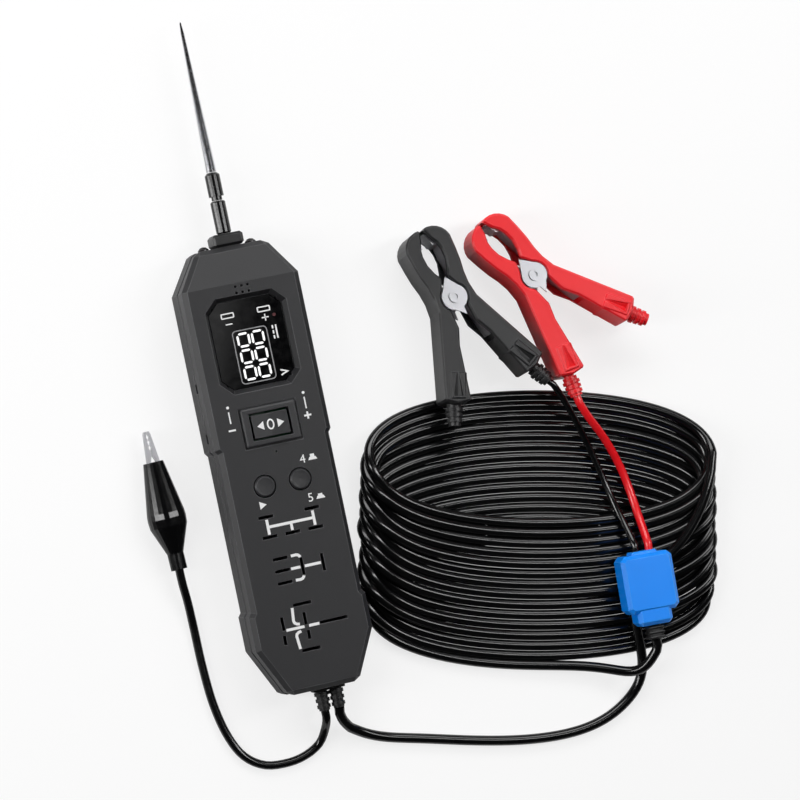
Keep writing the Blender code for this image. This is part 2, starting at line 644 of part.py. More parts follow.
def make_needle_end():
    """Nose, two sleeves, the needle and the two lamps."""
    neck_half = NOSE_HALF * NOSE_NECK
    start = BODY_TOP + GAP
    nose = block("probe_nose", (0, start + NOSE_LONG / 2, NOSE_Z),
                 (2 * NOSE_HALF, NOSE_LONG, 2 * NOSE_HALF), HOUSING)
    add_bevel(nose, NOSE_EDGE)
    neck = block("nose_neck", (0, start - NOSE_ROOT / 2 + NOSE_EDGE, NOSE_Z),
                 (2 * neck_half, NOSE_ROOT + 2 * NOSE_EDGE, 2 * neck_half), cutter=True)
    combine(nose, neck, "UNION")
    face = start + NOSE_LONG
    along = Matrix.Rotation(math.radians(-90), 4, "X")
    lower = [(0.0, SLEEVE_LOWER), (SLEEVE_RADIUS - SLEEVE_ROUND, SLEEVE_LOWER),
             (SLEEVE_RADIUS, SLEEVE_LOWER - SLEEVE_ROUND), (SLEEVE_RADIUS, SLEEVE_ROUND),
             (SLEEVE_RADIUS - SLEEVE_ROUND, 0.0), (0.0, 0.0)]
    turned("sleeve_lower", lower, RUBBER, Matrix.Translation((0, face + GAP, NOSE_Z)) @ along, 20)
    upper_start = face + GAP + SLEEVE_LOWER + GAP
    upper = [(0.0, SLEEVE_UPPER), (SLEEVE_RADIUS - 2 * SLEEVE_ROUND, SLEEVE_UPPER),
             (SLEEVE_RADIUS, SLEEVE_UPPER - 2 * SLEEVE_ROUND), (SLEEVE_RADIUS, GROOVE),
             (SLEEVE_NECK, GROOVE), (SLEEVE_NECK, 0.0), (0.0, 0.0)]
    turned("sleeve_upper", upper, RUBBER, Matrix.Translation((0, upper_start, NOSE_Z)) @ along, 20)
    needle_start = upper_start + SLEEVE_UPPER + GAP
    needle = [(0.0, NEEDLE_LONG), (NEEDLE_TIP, NEEDLE_LONG - 2 * NEEDLE_TIP),
              (2 * NEEDLE_TIP, NEEDLE_LONG - NEEDLE_TAPER), (NEEDLE_RADIUS, 0.0), (0.0, 0.0)]
    turned("probe_needle", needle, METAL, Matrix.Translation((0, needle_start, NOSE_Z)) @ along, 20)
    for name, side in (("lamp_left", -1), ("lamp_right", 1)):
        dome = [(LAMP_RADIUS * math.sin(turn), LAMP_LONG - LAMP_RADIUS * (1 - math.cos(turn)))
                for turn in (0.0, math.pi / 6, math.pi / 3, math.pi / 2)]
        turned(name, dome + [(LAMP_RADIUS, 0.0), (0.0, 0.0)], LAMP,
               Matrix.Translation((side * LAMP_X, BODY_TOP - LAMP_SUNK, NOSE_Z)) @ along, 16)


def make_relief():
    """Twin ribbed strain relief in the cable end."""
    start = BODY_FOOT - GAP
    body = block("twin_relief", (RELIEF_X, start - RELIEF_FLANGE / 2, RELIEF_Z),
                 (RELIEF_WIDE, RELIEF_FLANGE, 2 * RELIEF_RADIUS), RUBBER)
    add_bevel(body, GAP)
    neck = block("relief_neck", (RELIEF_X, start + (RELIEF_ROOT - RELIEF_FLANGE / 2) / 2, RELIEF_Z),
                 (RELIEF_WIDE * RELIEF_NECK, RELIEF_ROOT + RELIEF_FLANGE / 2, 2 * RELIEF_RADIUS * RELIEF_NECK),
                 cutter=True)
    combine(body, neck, "UNION")
    for lane in (-1, 1):
        x = RELIEF_X + lane * RELIEF_PITCH / 2
        core = rod("relief_core_%d" % (lane > 0), (x, start, RELIEF_Z), (x, start - RELIEF_LONG, RELIEF_Z),
                   RELIEF_RADIUS * 0.80, cutter=True, sides=14, tip=RELIEF_RADIUS * 0.70)
        combine(body, core, "UNION")
        for rib in range(RELIEF_RIBS):
            y = start - RIB_PITCH * (rib + 1)
            ring = rod("relief_rib_%d_%d" % (lane > 0, rib), (x, y + RIB_LONG / 2, RELIEF_Z),
                       (x, y - RIB_LONG / 2, RELIEF_Z), RELIEF_RADIUS * (0.96 - 0.04 * rib), cutter=True,
                       sides=14)
            combine(body, ring, "UNION")
    return body


def make_screws():
    """Four cross-head screws, sunk in their wells."""
    for number, (x, y) in enumerate(SCREW_PLACES, 1):
        screw = rod("case_screw_%d" % number, (x, y, SCREW_SUNK), (x, y, SCREW_LONG), SCREW_RADIUS, METAL,
                    sides=16)
        long, wide, deep = SCREW_CROSS
        for turn, size in enumerate(((long, wide, deep), (wide, long, deep))):
            combine(screw, block("screw_cross_%d_%d" % (number, turn), (x, y, SCREW_SUNK), size, cutter=True))


def clamp_half(side):
    """Outline of one clamp arm, on +X for side 1 and on -X for side -1."""
    along = Vector((math.sin(CLAMP_SPLAY), -math.cos(CLAMP_SPLAY)))
    across = Vector((math.cos(CLAMP_SPLAY), math.sin(CLAMP_SPLAY)))
    end = along * CLAMP_HANDLE
    half = HANDLE_WIDE / 2
    hook = arc(0.0022, CLAMP_JAW - 0.0080, 0.0082, 100, 10, 7)
    outer = hook + [(0.0100, 0.0185), (0.0095, 0.0130), (0.0086, 0.0080), (0.0083, 0.0030),
                    (0.0090, -0.0030)]
    handle = [tuple(end + across * half), tuple(end * 1.03), tuple(end - across * half)]
    eye = arc(0.0, 0.0, EYE_RADIUS + GAP, -48, 52, 6)
    inner = [(0.0072, -0.0190), (0.0042, -0.0125)] + eye + [(0.0014, 0.0092), (0.0030, 0.0122),
                                                            (0.0043, 0.0165), (0.0044, 0.0205),
                                                            (0.0038, 0.0236), (0.0022, 0.0264)]
    return [(side * x, y) for x, y in outer + handle + inner]


def handle_end(side):
    """Middle of a handle's end and the way it points, in the clamp's frame."""
    along = Vector((side * math.sin(CLAMP_SPLAY), -math.cos(CLAMP_SPLAY), 0.0))
    return along * CLAMP_HANDLE * 1.03, along


def ribbed(name, start, along, length, radius, material=None, cutter=False, ribs=3):
    """A short moulded sleeve with rings round it."""
    body = rod(name, start, start + along * length, radius * 0.84, material, cutter, 16, radius * 0.70)
    for rib in range(ribs):
        middle = start + along * length * (0.28 + 0.24 * rib)
        ring = rod("%s_ring_%d" % (name, rib), middle - along * RIB_LONG / 2, middle + along * RIB_LONG / 2,
                   radius * (1.0 - 0.05 * rib), cutter=True, sides=16)
        combine(body, ring, "UNION")
    return body


def clamp_steel(name, side, cheek, outer):
    """Toothed liner of one arm, with the two lugs that hold the rivet."""
    inner = CLAMP_WIDE / 2 - POCKET_WALL
    liner = [(0.0006, 0.0292), (0.0030, 0.0285), (0.0058, 0.0235), (0.0062, 0.0105),
             (0.0062, -0.0020), (0.0088, -0.0200), (0.0076, -0.0200), (0.0048, -0.0040),
             (0.0048, 0.0110), (0.0046, 0.0225)]
    teeth = [(0.0024 - 0.0002 * i, 0.0232 + 0.0011 * i + (0.0 if i % 2 else 0.0005))
             for i in range(5)]
    steel = plate(name, [(side * x, y) for x, y in liner + teeth], -inner + GAP, inner - GAP, METAL)
    for top in (-1, 1):
        low, high = sorted((top * cheek, top * (cheek - PLATE)))
        if outer:
            outline = ([(0.0, 0.0092)] + arc(0, 0, EYE_RADIUS - 0.0002, 130, 250, 8) + [(0.0016, -0.0086)]
                       + arc(0, 0, EYE_RADIUS - 0.0002, 290, 410, 8))
        else:
            outline = [(0.0051, -0.0018), (0.0051, 0.0018)] + arc(0, 0, 0.0036, 70, 290, 12)
        lug = plate("%s_lug_%d" % (name, top > 0), [(side * x, y) for x, y in outline], low, high,
                    cutter=True)
        combine(steel, lug, "UNION")
        low, high = sorted((top * cheek, top * (inner - PLATE)))
        web = [(0.0043, 0.0018), (0.0051, 0.0018), (0.0051, -0.0018), (0.0043, -0.0018)]
        combine(steel, plate("%s_web_%d" % (name, top > 0), [(side * x, y) for x, y in web],
                             low, high, cutter=True), "UNION")
    combine(steel, rod(name + "_bore", (0, 0, -CLAMP_WIDE), (0, 0, CLAMP_WIDE), RIVET_RADIUS + GAP,
                       cutter=True, sides=16))
    return steel


def clamp_arm(name, side, material, stub):
    """Moulded arm: outline, chamfered edges, raised end pads and the liner's pocket."""
    half = CLAMP_WIDE / 2
    arm = plate(name, clamp_half(side), -half, half, material)
    add_bevel(arm, CLAMP_EDGE, 1, 30)
    inner = half - POCKET_WALL
    pocket = [(-0.0040, 0.0330), (0.0050, 0.0290), (0.0068, 0.0240), (0.0066, 0.0100),
              (0.0066, -0.0030), (0.0098, -0.0225), (0.0000, -0.0225), (-0.0040, 0.0)]
    combine(arm, plate(name + "_pocket", [(side * x, y) for x, y in pocket], -inner, inner,
                       cutter=True))
    end, along = handle_end(side)
    turn = Matrix.Rotation(side * CLAMP_SPLAY, 4, "Z")
    pad = block(name + "_pad", (0, 0, 0), (PAD_WIDE, PAD_LONG, CLAMP_WIDE + 2 * PAD_PROUD), cutter=True)
    add_bevel(pad, 0.0012)
    pad.matrix_world = Matrix.Translation(end - along * (PAD_LONG / 2 + 0.0012)) @ turn
    combine(arm, pad, "UNION")
    for top in (-1, 1):
        lift = Vector((0, 0, top * (half + PAD_PROUD)))
        groove = rod("%s_groove_%d" % (name, top > 0), end - along * (PAD_LONG + 0.0010) + lift,
                     end - along * 0.0030 + lift, 0.0004, cutter=True, sides=8, tip=0.0021)
        combine(arm, groove)
    if stub:
        root = 0.0010
        combine(arm, ribbed(name + "_stub", end - along * root, along, CLAMP_RELIEF_LONG + root,
                            CLAMP_RELIEF_RADIUS, cutter=True), "UNION")
    else:
        well = rod(name + "_well", end - along * 0.0060, end + along * 0.0030, CLAMP_ROOT + GAP,
                   cutter=True, sides=16)
        combine(arm, well)
    return arm


def clamp_height():
    """Pivot height at which the tilted clamp's jaw tips just clear the floor."""
    return (CLAMP_WIDE / 2 * math.cos(CLAMP_TILT) + (CLAMP_JAW + GAP) * math.sin(CLAMP_TILT) + GAP)


def make_clamp(colour, material, pivot, axis, cable_side):
    """One battery clamp: two arms, two toothed plates, rivet, spring and relief."""
    before = set(bpy.data.objects)
    half = CLAMP_WIDE / 2
    clamp_arm(colour + "_fixed_arm", cable_side, material, False)
    clamp_arm(colour + "_moving_arm", -cable_side, material, True)
    face = half - CLAMP_FACE
    clamp_steel(colour + "_fixed_plate", cable_side, face, True)
    clamp_steel(colour + "_moving_plate", -cable_side, face - PLATE - GAP, False)
    foot = face + GAP
    rivet = rod(colour + "_rivet", (0, 0, -foot), (0, 0, foot), RIVET_RADIUS, METAL, sides=16)
    for top in (-1, 1):
        high = Vector((0, 0, top * (foot + RIVET_PROUD)))
        head = rod("%s_rivet_head_%d" % (colour, top > 0), (0, 0, top * foot), high, RIVET_HEAD,
                   cutter=True, sides=16)
        hollow = rod("%s_rivet_hollow_%d" % (colour, top > 0), high * 0.92, high * 1.2, RIVET_HOLLOW,
                     cutter=True, sides=12)
        combine(rivet, head, "UNION")
        combine(rivet, hollow)
    coil_half = half - POCKET_WALL - 2 * PLATE - GAP
    profile = [(SPRING_RADIUS, coil_half), (SPRING_RADIUS, -coil_half), (RIVET_RADIUS + GAP, -coil_half),
               (RIVET_RADIUS + GAP, coil_half)]
    turned(colour + "_spring", profile, METAL, sides=16, ring=True)
    end, along = handle_end(cable_side)
    relief = ribbed(colour + "_relief", end + along * GAP, along, CLAMP_RELIEF_LONG,
                    CLAMP_RELIEF_RADIUS, material)
    plug = rod(colour + "_relief_root", end - along * 0.0055, end + along * 0.0010, CLAMP_ROOT,
               cutter=True, sides=16)
    combine(relief, plug, "UNION")
    place = (Matrix.Translation((*pivot, clamp_height()))
             @ Matrix.Rotation(axis - math.radians(90), 4, "Z") @ Matrix.Rotation(-CLAMP_TILT, 4, "X"))
    for made in set(bpy.data.objects) - before:
        made.matrix_world = place @ made.matrix_world
    return place


def clip_jaw(name, side, lug_low, lug_high):
    """One jaw of the small clip, with its tail and pivot lug."""
    half = CLIP_WIDE / 2
    outline = [(0.0003, CLIP_JAW), (0.0010, CLIP_JAW), (0.0014, CLIP_JAW - 0.0012), (0.0025, 0.0050),
               (0.0029, 0.0010), (0.0031, -0.0030), (0.0050, -CLIP_TAIL), (0.0040, -CLIP_TAIL),
               (0.0022, -0.0030), (0.0020, 0.0020), (0.0003, 0.0065)]
    teeth = [(0.0003 + (0.0004 if i % 2 else 0.0), 0.0090 + 0.0011 * i) for i in range(7)]
    jaw = plate(name, [(side * x, y) for x, y in outline + teeth], -half, half, METAL)
    lug = [(0.0025, 0.0022)] + arc(0, 0, CLIP_LUG, 90, 270, 8) + [(0.0025, -0.0022)]
    combine(jaw, plate(name + "_lug", [(side * x, y) for x, y in lug], lug_low, lug_high,
                       cutter=True), "UNION")
    combine(jaw, rod(name + "_bore", (0, 0, -0.01), (0, 0, 0.01), CLIP_PIN + GAP, cutter=True,
                     sides=12))
    return jaw


def make_clip():
    """Small spring clip in its soft boot."""
    before = set(bpy.data.objects)
    inside, outside = 0.0007, CLIP_WIDE / 2 - 0.0002
    clip_jaw("clip_fixed_jaw", -1, inside, outside)
    clip_jaw("clip_moving_jaw", 1, -outside, -inside)
    reach = CLIP_WIDE / 2 + 0.0002
    rod("clip_pin", (0, 0, -reach), (0, 0, reach), CLIP_PIN, METAL, sides=12)
    coil = inside - GAP
    spring = [(CLIP_PIN + 3 * GAP, coil), (CLIP_PIN + 3 * GAP, -coil), (CLIP_PIN + GAP, -coil),
              (CLIP_PIN + GAP, coil)]
    turned("clip_spring", spring, METAL, sides=12, ring=True)
    outer = [(BOOT_MOUTH, BOOT_MOUTH_Y), (BOOT_WIDE * 0.98, -0.0172), (BOOT_WIDE, -0.0195),
             (BOOT_WIDE * 0.97, -0.0228), (BOOT_NECK, -0.0342), (BOOT_NECK, BOOT_FOOT)]
    hole = CLIP_LEAD_D / 2 + GAP
    inner = [(hole, BOOT_FOOT), (hole, -0.0342), (BOOT_WIDE - 0.0012, -0.0225),
             (BOOT_WIDE - 0.0010, -0.0180), (BOOT_MOUTH - BOOT_WALL, BOOT_MOUTH_Y)]
    along = Matrix.Rotation(math.radians(-90), 4, "X")
    turned("clip_boot", outer + inner, RUBBER, Matrix.Diagonal((1.0, 1.0, BOOT_FLAT, 1.0)) @ along, 24,
           ring=True)
    place = (Matrix.Translation(CLIP_PIVOT)
             @ Matrix.Rotation(CLIP_AXIS - math.radians(90), 4, "Z"))
    for made in set(bpy.data.objects) - before:
        made.matrix_world = place @ made.matrix_world
    return place


def make_fuse_box():
    """Moulded in-line box with a narrow tail, and the ribbed collar at its foot."""
    wide, long, tall = BOX_SIZE
    tail_wide, tail_long, tail_tall = BOX_TAIL
    foot = -long / 2 - tail_long
    box = plate("fuse_box", octagon(wide / 2, long / 2, BOX_CORNER, 0.0), 0.0, tall, BLUE)
    add_bevel(box, BOX_EDGE, 1, 60)
    tail = block("box_tail", (0, foot / 2, tall / 2), (tail_wide, -foot, tail_tall), cutter=True)
    add_bevel(tail, BOX_EDGE)
    combine(box, tail, "UNION")
    lip = block("box_lip", (0, long / 2, tall / 2), (BOX_LIP[0], 2 * BOX_LIP[1], BOX_LIP[2]), cutter=True)
    add_bevel(lip, BOX_LIP[1] / 2)
    combine(box, lip, "UNION")
    side, reach = COLLAR_SIZE
    collar = block("box_collar", (0, foot - GAP - reach / 2, tall / 2), (side, reach, side), RUBBER)
    add_bevel(collar, side / 5, 2)
    proud, rib_long = COLLAR_RIB
    for rib in range(COLLAR_RIBS):
        y = foot - GAP - reach * (rib + 0.5) / COLLAR_RIBS
        ring = block("collar_rib_%d" % rib, (0, y, tall / 2), (side + proud, rib_long, side + proud),
                     cutter=True)
        add_bevel(ring, side / 5, 2, 80)
        combine(collar, ring, "UNION")
    place = (Matrix.Translation((*BOX_CENTRE, BOX_FLOOR)) @ Matrix.Rotation(BOX_TURN, 4, "Z"))
    for made in (box, collar, *[m.object for m in box.modifiers if m.type == "BOOLEAN"],
                 *[m.object for m in collar.modifiers if m.type == "BOOLEAN"]):
        made.matrix_world = place
    return place, foot


def ring_coil_outline(reach):
    """Plan of the coil: an oval swept along its short axis."""
    a, b = COIL_HALF_LONG + reach, COIL_HALF_WIDE + reach
    count = 28
    upper = [(a * math.cos(math.pi * i / count), b * math.sin(math.pi * i / count)) for i in range(count + 1)]
    lower = [(-x, -y - COIL_SPREAD) for x, y in upper]
    return upper + lower


def make_coil():
    """Outer shape of the coiled lead: piled at both ends, one layer in its middle."""
    coil = plate("main_lead_coil", ring_coil_outline(0.0), 0.0, COIL_TALL, CABLE)
    top = 2 * COIL_TALL
    slope = (COIL_SHOULDER - COIL_FLAT) / (COIL_TALL - COIL_WAIST)
    reach = COIL_SHOULDER + slope * COIL_TALL
    trough = [(-COIL_FLAT, COIL_WAIST), (COIL_FLAT, COIL_WAIST), (reach, top), (-reach, top)]
    cutter = plate("coil_trough", trough, -3 * COIL_HALF_LONG, 3 * COIL_HALF_LONG, cutter=True)
    cutter.data.transform(Matrix.Rotation(math.radians(90), 4, "X"))
    combine(coil, cutter)
    coil.matrix_world = COIL_PLACE
    cutter.matrix_world = COIL_PLACE


def on_coil(across, along, height):
    """A place given along the coil's long axis, along its spread, and in height."""
    return COIL_PLACE @ Vector((across, along, height))


COIL_PLACE = Matrix.Translation((*COIL_CENTRE, 0)) @ Matrix.Rotation(COIL_TURN, 4, "Z")


def make_cables(black, red, clip, box_place, box_foot):
    """Every lead along its route, each between the pieces that hold it."""
    lane = RELIEF_PITCH / 2
    exit_y = BODY_FOOT - GAP - RELIEF_LONG - 4 * GAP
    floor = MAIN_D / 2 + 0.0001
    over = COIL_WAIST + MAIN_D / 2 + GAP
    run = [Vector((RELIEF_X + lane, exit_y, RELIEF_Z)), (RELIEF_X + lane, exit_y - 0.0032, RELIEF_Z),
           (0.0092, -0.1095, 0.0068), (0.0140, -0.1143, 0.0030), (0.0225, -0.1185, floor),
           (0.0398, -0.1228, floor), (0.0600, -0.1283, floor), (0.0800, -0.1328, floor),
           (0.0980, -0.1350, floor), (0.1130, -0.1345, floor), (0.1250, -0.1310, floor),
           (0.1340, -0.1250, floor), on_coil(0.0455, -0.0960, 0.0030),
           on_coil(0.0455, -0.0895, 0.0056), on_coil(0.0440, -0.0820, over),
           on_coil(0.0415, -0.0730, over), on_coil(0.0400, -0.0640, over),
           on_coil(0.0415, -0.0560, over), on_coil(0.0465, -0.0500, over),
           on_coil(0.0520, -0.0462, over + 0.0004)]
    cable("main_lead_run", smooth_route(run, 0.0050), MAIN_D, CABLE, 2)
    collar_foot = box_foot - GAP - COLLAR_SIZE[1]
    rise = [on_coil(0.0140, -0.0885, floor), on_coil(0.0230, -0.0910, 0.0032),
            on_coil(0.0320, -0.0945, 0.0064), on_coil(0.0400, -0.0945, 0.0110),
            on_coil(0.0442, -0.0885, 0.0148)]
    for reach in (0.0035, 2 * GAP):
        rise.append(box_place @ Vector((0, collar_foot - reach, BOX_SIZE[2] / 2)))
    cable("main_lead_end", smooth_route(rise, 0.0030), MAIN_D, CABLE, 2)
    low = CLIP_LEAD_D / 2 + 0.0001
    sleeve = clip @ Vector((0, BOOT_FOOT - 2 * GAP, 0))
    behind = clip @ Vector((0, BOOT_FOOT - 0.0060, -0.0008))
    lead = [Vector((RELIEF_X - lane, exit_y, RELIEF_Z)), (RELIEF_X - lane, exit_y - 0.0030, RELIEF_Z),
            (0.0006, -0.1092, 0.0062), (-0.0022, -0.1152, 0.0022), (-0.0085, -0.1188, low),
            (-0.0165, -0.1203, low), (-0.0265, -0.1192, low), (-0.0345, -0.1135, low),
            (-0.0395, -0.1035, low), (-0.0425, -0.0900, low), (-0.0437, -0.0740, low),
            (-0.0440, -0.0580, 0.0022), (-0.0446, -0.0470, 0.0042), behind, sleeve]
    cable("clip_lead", smooth_route(lead, 0.0050), CLIP_LEAD_D, CABLE, 2)
    for colour, place, diameter, material, entry, side, middle in (
            ("black", black, BLACK_LEAD_D, CABLE, -0.0026, 1,
             ((0.0133, 0.0130), (0.0218, 0.0010), (0.0280, -0.0110), (0.0325, -0.0230),
              (0.0354, -0.0335))),
            ("red", red, RED_LEAD_D, RED, 0.0034, -1,
             ((0.0265, 0.0135), (0.0325, 0.0030), (0.0368, -0.0080), (0.0396, -0.0200),
              (0.0414, -0.0320)))):
        end, along = handle_end(side)
        start = place @ (end + along * (3 * GAP + CLAMP_RELIEF_LONG))
        ahead = place @ (end + along * (0.0035 + CLAMP_RELIEF_LONG))
        rest = COIL_WAIST + diameter / 2 + GAP
        heights = (rest + 0.0036, rest + 0.0004, rest, rest + 0.0012, rest + 0.0052)
        route = [start, ahead] + [on_coil(x, y, z) for (x, y), z in zip(middle, heights)]
        for reach in (0.0040, 2 * GAP):
            route.append(box_place @ Vector((entry, BOX_SIZE[1] / 2 + BOX_LIP[1] + reach, BOX_SIZE[2] / 2)))
        cable(colour + "_lead", smooth_route(route, 0.0050), diameter, material, 2)


make_rear_shell()
make_front_shell()
make_display()
make_rocker()
make_buttons()
make_board()
make_sockets()
make_needle_end()
make_relief()
make_screws()
make_coil()
BLACK_PLACE = make_clamp("black", BLACK, BLACK_PIVOT, BLACK_AXIS, 1)
RED_PLACE = make_clamp("red", RED, RED_PIVOT, RED_AXIS, -1)
CLIP_PLACE = make_clip()
BOX_PLACE, BOX_FOOT = make_fuse_box()
make_cables(BLACK_PLACE, RED_PLACE, CLIP_PLACE, BOX_PLACE, BOX_FOOT)
bpy.context.view_layer.update()
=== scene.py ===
"""Relay tester on a pale floor: finishes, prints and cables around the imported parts."""
import math

import bmesh
import bpy
import numpy as np
from mathutils import Matrix, Vector


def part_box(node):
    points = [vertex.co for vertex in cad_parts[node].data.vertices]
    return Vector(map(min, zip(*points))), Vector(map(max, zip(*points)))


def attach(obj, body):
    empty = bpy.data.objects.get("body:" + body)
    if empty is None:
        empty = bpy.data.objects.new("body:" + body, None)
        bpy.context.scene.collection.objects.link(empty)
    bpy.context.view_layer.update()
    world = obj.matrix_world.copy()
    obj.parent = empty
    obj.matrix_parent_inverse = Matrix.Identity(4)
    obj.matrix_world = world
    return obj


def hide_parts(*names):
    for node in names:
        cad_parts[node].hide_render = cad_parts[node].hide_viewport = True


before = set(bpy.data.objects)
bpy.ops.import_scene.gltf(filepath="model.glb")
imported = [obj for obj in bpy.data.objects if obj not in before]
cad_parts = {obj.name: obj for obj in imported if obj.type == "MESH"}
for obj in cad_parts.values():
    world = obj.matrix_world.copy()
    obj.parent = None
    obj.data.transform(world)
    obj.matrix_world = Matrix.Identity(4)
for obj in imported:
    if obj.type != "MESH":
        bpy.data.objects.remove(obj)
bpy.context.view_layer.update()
MM = 0.001


# Housing: two halves of charcoal ABS, injection moulded against a spark-eroded tool. The
# tool's grain leaves a dull, faintly speckled skin, and every outer edge carries a patchy
# painted highlight, lighter than the skin.
def colour(hex_value):
    """An sRGB hex value as linear red, green, blue and alpha."""
    parts = [int(hex_value[i:i + 2], 16) / 255 for i in (1, 3, 5)]
    return [c / 12.92 if c <= 0.04045 else ((c + 0.055) / 1.055) ** 2.4 for c in parts] + [1.0]


def add(tree, kind, values=None, links=None, **settings):
    """A node with its settings, its sockets' values and the sockets that feed it."""
    made = tree.nodes.new(kind)
    for name, value in settings.items():
        setattr(made, name, value)
    for socket, value in (values or {}).items():
        made.inputs[socket].default_value = value
    for socket, source in (links or {}).items():
        tree.links.new(source, made.inputs[socket])
    return made


def blank_finish(name):
    """A new material with only its shader and output left, and its object coordinates."""
    finish = bpy.data.materials.new(name)
    finish.use_nodes = True
    tree = finish.node_tree
    tree.nodes.clear()
    shader = add(tree, "ShaderNodeBsdfPrincipled")
    add(tree, "ShaderNodeOutputMaterial", links={"Surface": shader.outputs["BSDF"]})
    place = add(tree, "ShaderNodeTexCoord").outputs["Object"]
    return finish, tree, shader, place


def moulded(name, body, edge_highlight, grain_mm, grain_depth_mm, roughness, edge_mm=0.35, coat=0.0,
            uneven=0.10):
    """Moulded plastic: tool grain as bump, slow colour drift and a patchy painted highlight on its edges."""
    finish, tree, shader, place = blank_finish(name)
    grain = add(tree, "ShaderNodeTexNoise", {"Scale": 1 / (grain_mm * MM), "Detail": 2.0},
                {"Vector": place})
    drift = add(tree, "ShaderNodeTexNoise", {"Scale": 1 / (14 * MM), "Detail": 3.0}, {"Vector": place})
    darker = [c * (1 - uneven) for c in colour(body)[:3]] + [1.0]
    lighter = [c * (1 + uneven) for c in colour(body)[:3]] + [1.0]
    skin = add(tree, "ShaderNodeMix", {6: darker, 7: lighter}, {0: drift.outputs["Fac"]},
               data_type="RGBA")
    # Painted highlight: where the bevelled normal turns away from the flat one, the colour is lightened
    # towards the second colour, patchy by the drift. Every moulded finish's second colour is this edge
    # highlight.
    rounded = add(tree, "ShaderNodeBevel", {"Radius": edge_mm * MM}, samples=6)
    flat = add(tree, "ShaderNodeNewGeometry")
    facing = add(tree, "ShaderNodeVectorMath", links={0: rounded.outputs["Normal"],
                                                     1: flat.outputs["Normal"]}, operation="DOT_PRODUCT")
    edge = add(tree, "ShaderNodeMapRange", {"From Min": 0.997, "From Max": 0.965, "To Max": 0.70},
               {"Value": facing.outputs["Value"]})
    patchy = add(tree, "ShaderNodeMapRange", {"From Min": 0.30, "From Max": 0.65, "To Min": 0.35},
                 {"Value": drift.outputs["Fac"]})
    edge_highlight_mask = add(tree, "ShaderNodeMath", links={0: edge.outputs["Result"], 1: patchy.outputs["Result"]},
               operation="MULTIPLY")
    tint = add(tree, "ShaderNodeMix", {7: colour(edge_highlight)},
               {0: edge_highlight_mask.outputs["Value"], 6: skin.outputs[2]}, data_type="RGBA")
    dull = add(tree, "ShaderNodeMapRange", {"To Min": roughness + 0.05, "To Max": roughness - 0.07},
               {"Value": grain.outputs["Fac"]})
    bump = add(tree, "ShaderNodeBump", {"Distance": grain_depth_mm * MM, "Strength": 0.6},
               {"Height": grain.outputs["Fac"], "Normal": rounded.outputs["Normal"]})
    tree.links.new(tint.outputs[2], shader.inputs["Base Color"])
    tree.links.new(dull.outputs["Result"], shader.inputs["Roughness"])
    tree.links.new(bump.outputs["Normal"], shader.inputs["Normal"])
    shader.inputs["IOR"].default_value = 1.48
    shader.inputs["Coat Weight"].default_value = coat
    shader.inputs["Coat Roughness"].default_value = 0.12
    return finish


def dress(node, finish):
    """Give a CAD node its finish."""
    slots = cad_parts[node].data.materials
    slots.clear()
    slots.append(finish)


# 0.45 mm grain stands for a real one of about 0.05 mm, which would not show
abs_charcoal = moulded("spark_eroded_abs_charcoal", "#222224", "#78787b", 0.45, 0.05, 0.50)
for shell in ("front_shell", "rear_shell"):
    dress(shell, abs_charcoal)


# Screws, board and switches: pan-head screws of zinc-plated steel, a green glass-epoxy board
# and the dark nylon blocks of switches, relay contacts and buzzer, all seen only through the
# slots and from the back.
def rolled_metal(name, tone, roughness, scratch_mm, stretch, edge_tint=1.0):
    """Plated or polished steel: fine drawn lines that vary its gloss, and a tint at its rim."""
    finish, tree, shader, place = blank_finish(name)
    lines = add(tree, "ShaderNodeMapping", {"Scale": stretch}, {"Vector": place})
    brushed = add(tree, "ShaderNodeTexNoise", {"Scale": 1 / (scratch_mm * MM), "Detail": 4.0},
                  {"Vector": lines.outputs["Vector"]})
    gloss = add(tree, "ShaderNodeMapRange", {"To Min": roughness - 0.06, "To Max": roughness + 0.12},
                {"Value": brushed.outputs["Fac"]})
    bump = add(tree, "ShaderNodeBump", {"Distance": 0.006 * MM, "Strength": 0.5},
               {"Height": brushed.outputs["Fac"]})
    shader.inputs["Base Color"].default_value = colour(tone)
    shader.inputs["Metallic"].default_value = 1.0
    shader.inputs["Specular Tint"].default_value = (edge_tint, edge_tint, edge_tint, 1.0)
    tree.links.new(gloss.outputs["Result"], shader.inputs["Roughness"])
    tree.links.new(bump.outputs["Normal"], shader.inputs["Normal"])
    return finish


zinc = rolled_metal("zinc_plated_steel", "#b9babd", 0.36, 0.9, (1.0, 1.0, 6.0))
nickel = rolled_metal("nickel_plated_spring_steel", "#c4c4c8", 0.30, 0.8, (5.0, 1.0, 1.0))
board_green = moulded("solder_mask_on_glass_epoxy", "#0f4a2c", "#1d6a45", 0.8, 0.02, 0.35)
nylon_dark = moulded("moulded_nylon_black", "#1c1c1d", "#2c2c2e", 0.6, 0.03, 0.50)
dress("main_board", board_green)
for number in range(1, 5):
    dress("case_screw_%d" % number, zinc)
for hidden in ("display_module", "rocker_switch", "test_switch", "pin_switch", "buzzer",
               "relay_socket_upper", "relay_socket_middle", "relay_socket_lower"):
    dress(hidden, nylon_dark)

# Display: a smoked polycarbonate window, gloss moulded, set into its recess. Its frame and
# signs are screen printed behind it, and the lit figures of the module show through. Here
# all of them lie on its face, where they look the same.
smoked = moulded("smoked_polycarbonate", "#020203", "#060607", 3.0, 0.001, 0.09, edge_mm=0.1)
dress("display_window", smoked)
WINDOW_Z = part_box("display_window")[1][2] / MM
INK_MM = 0.04


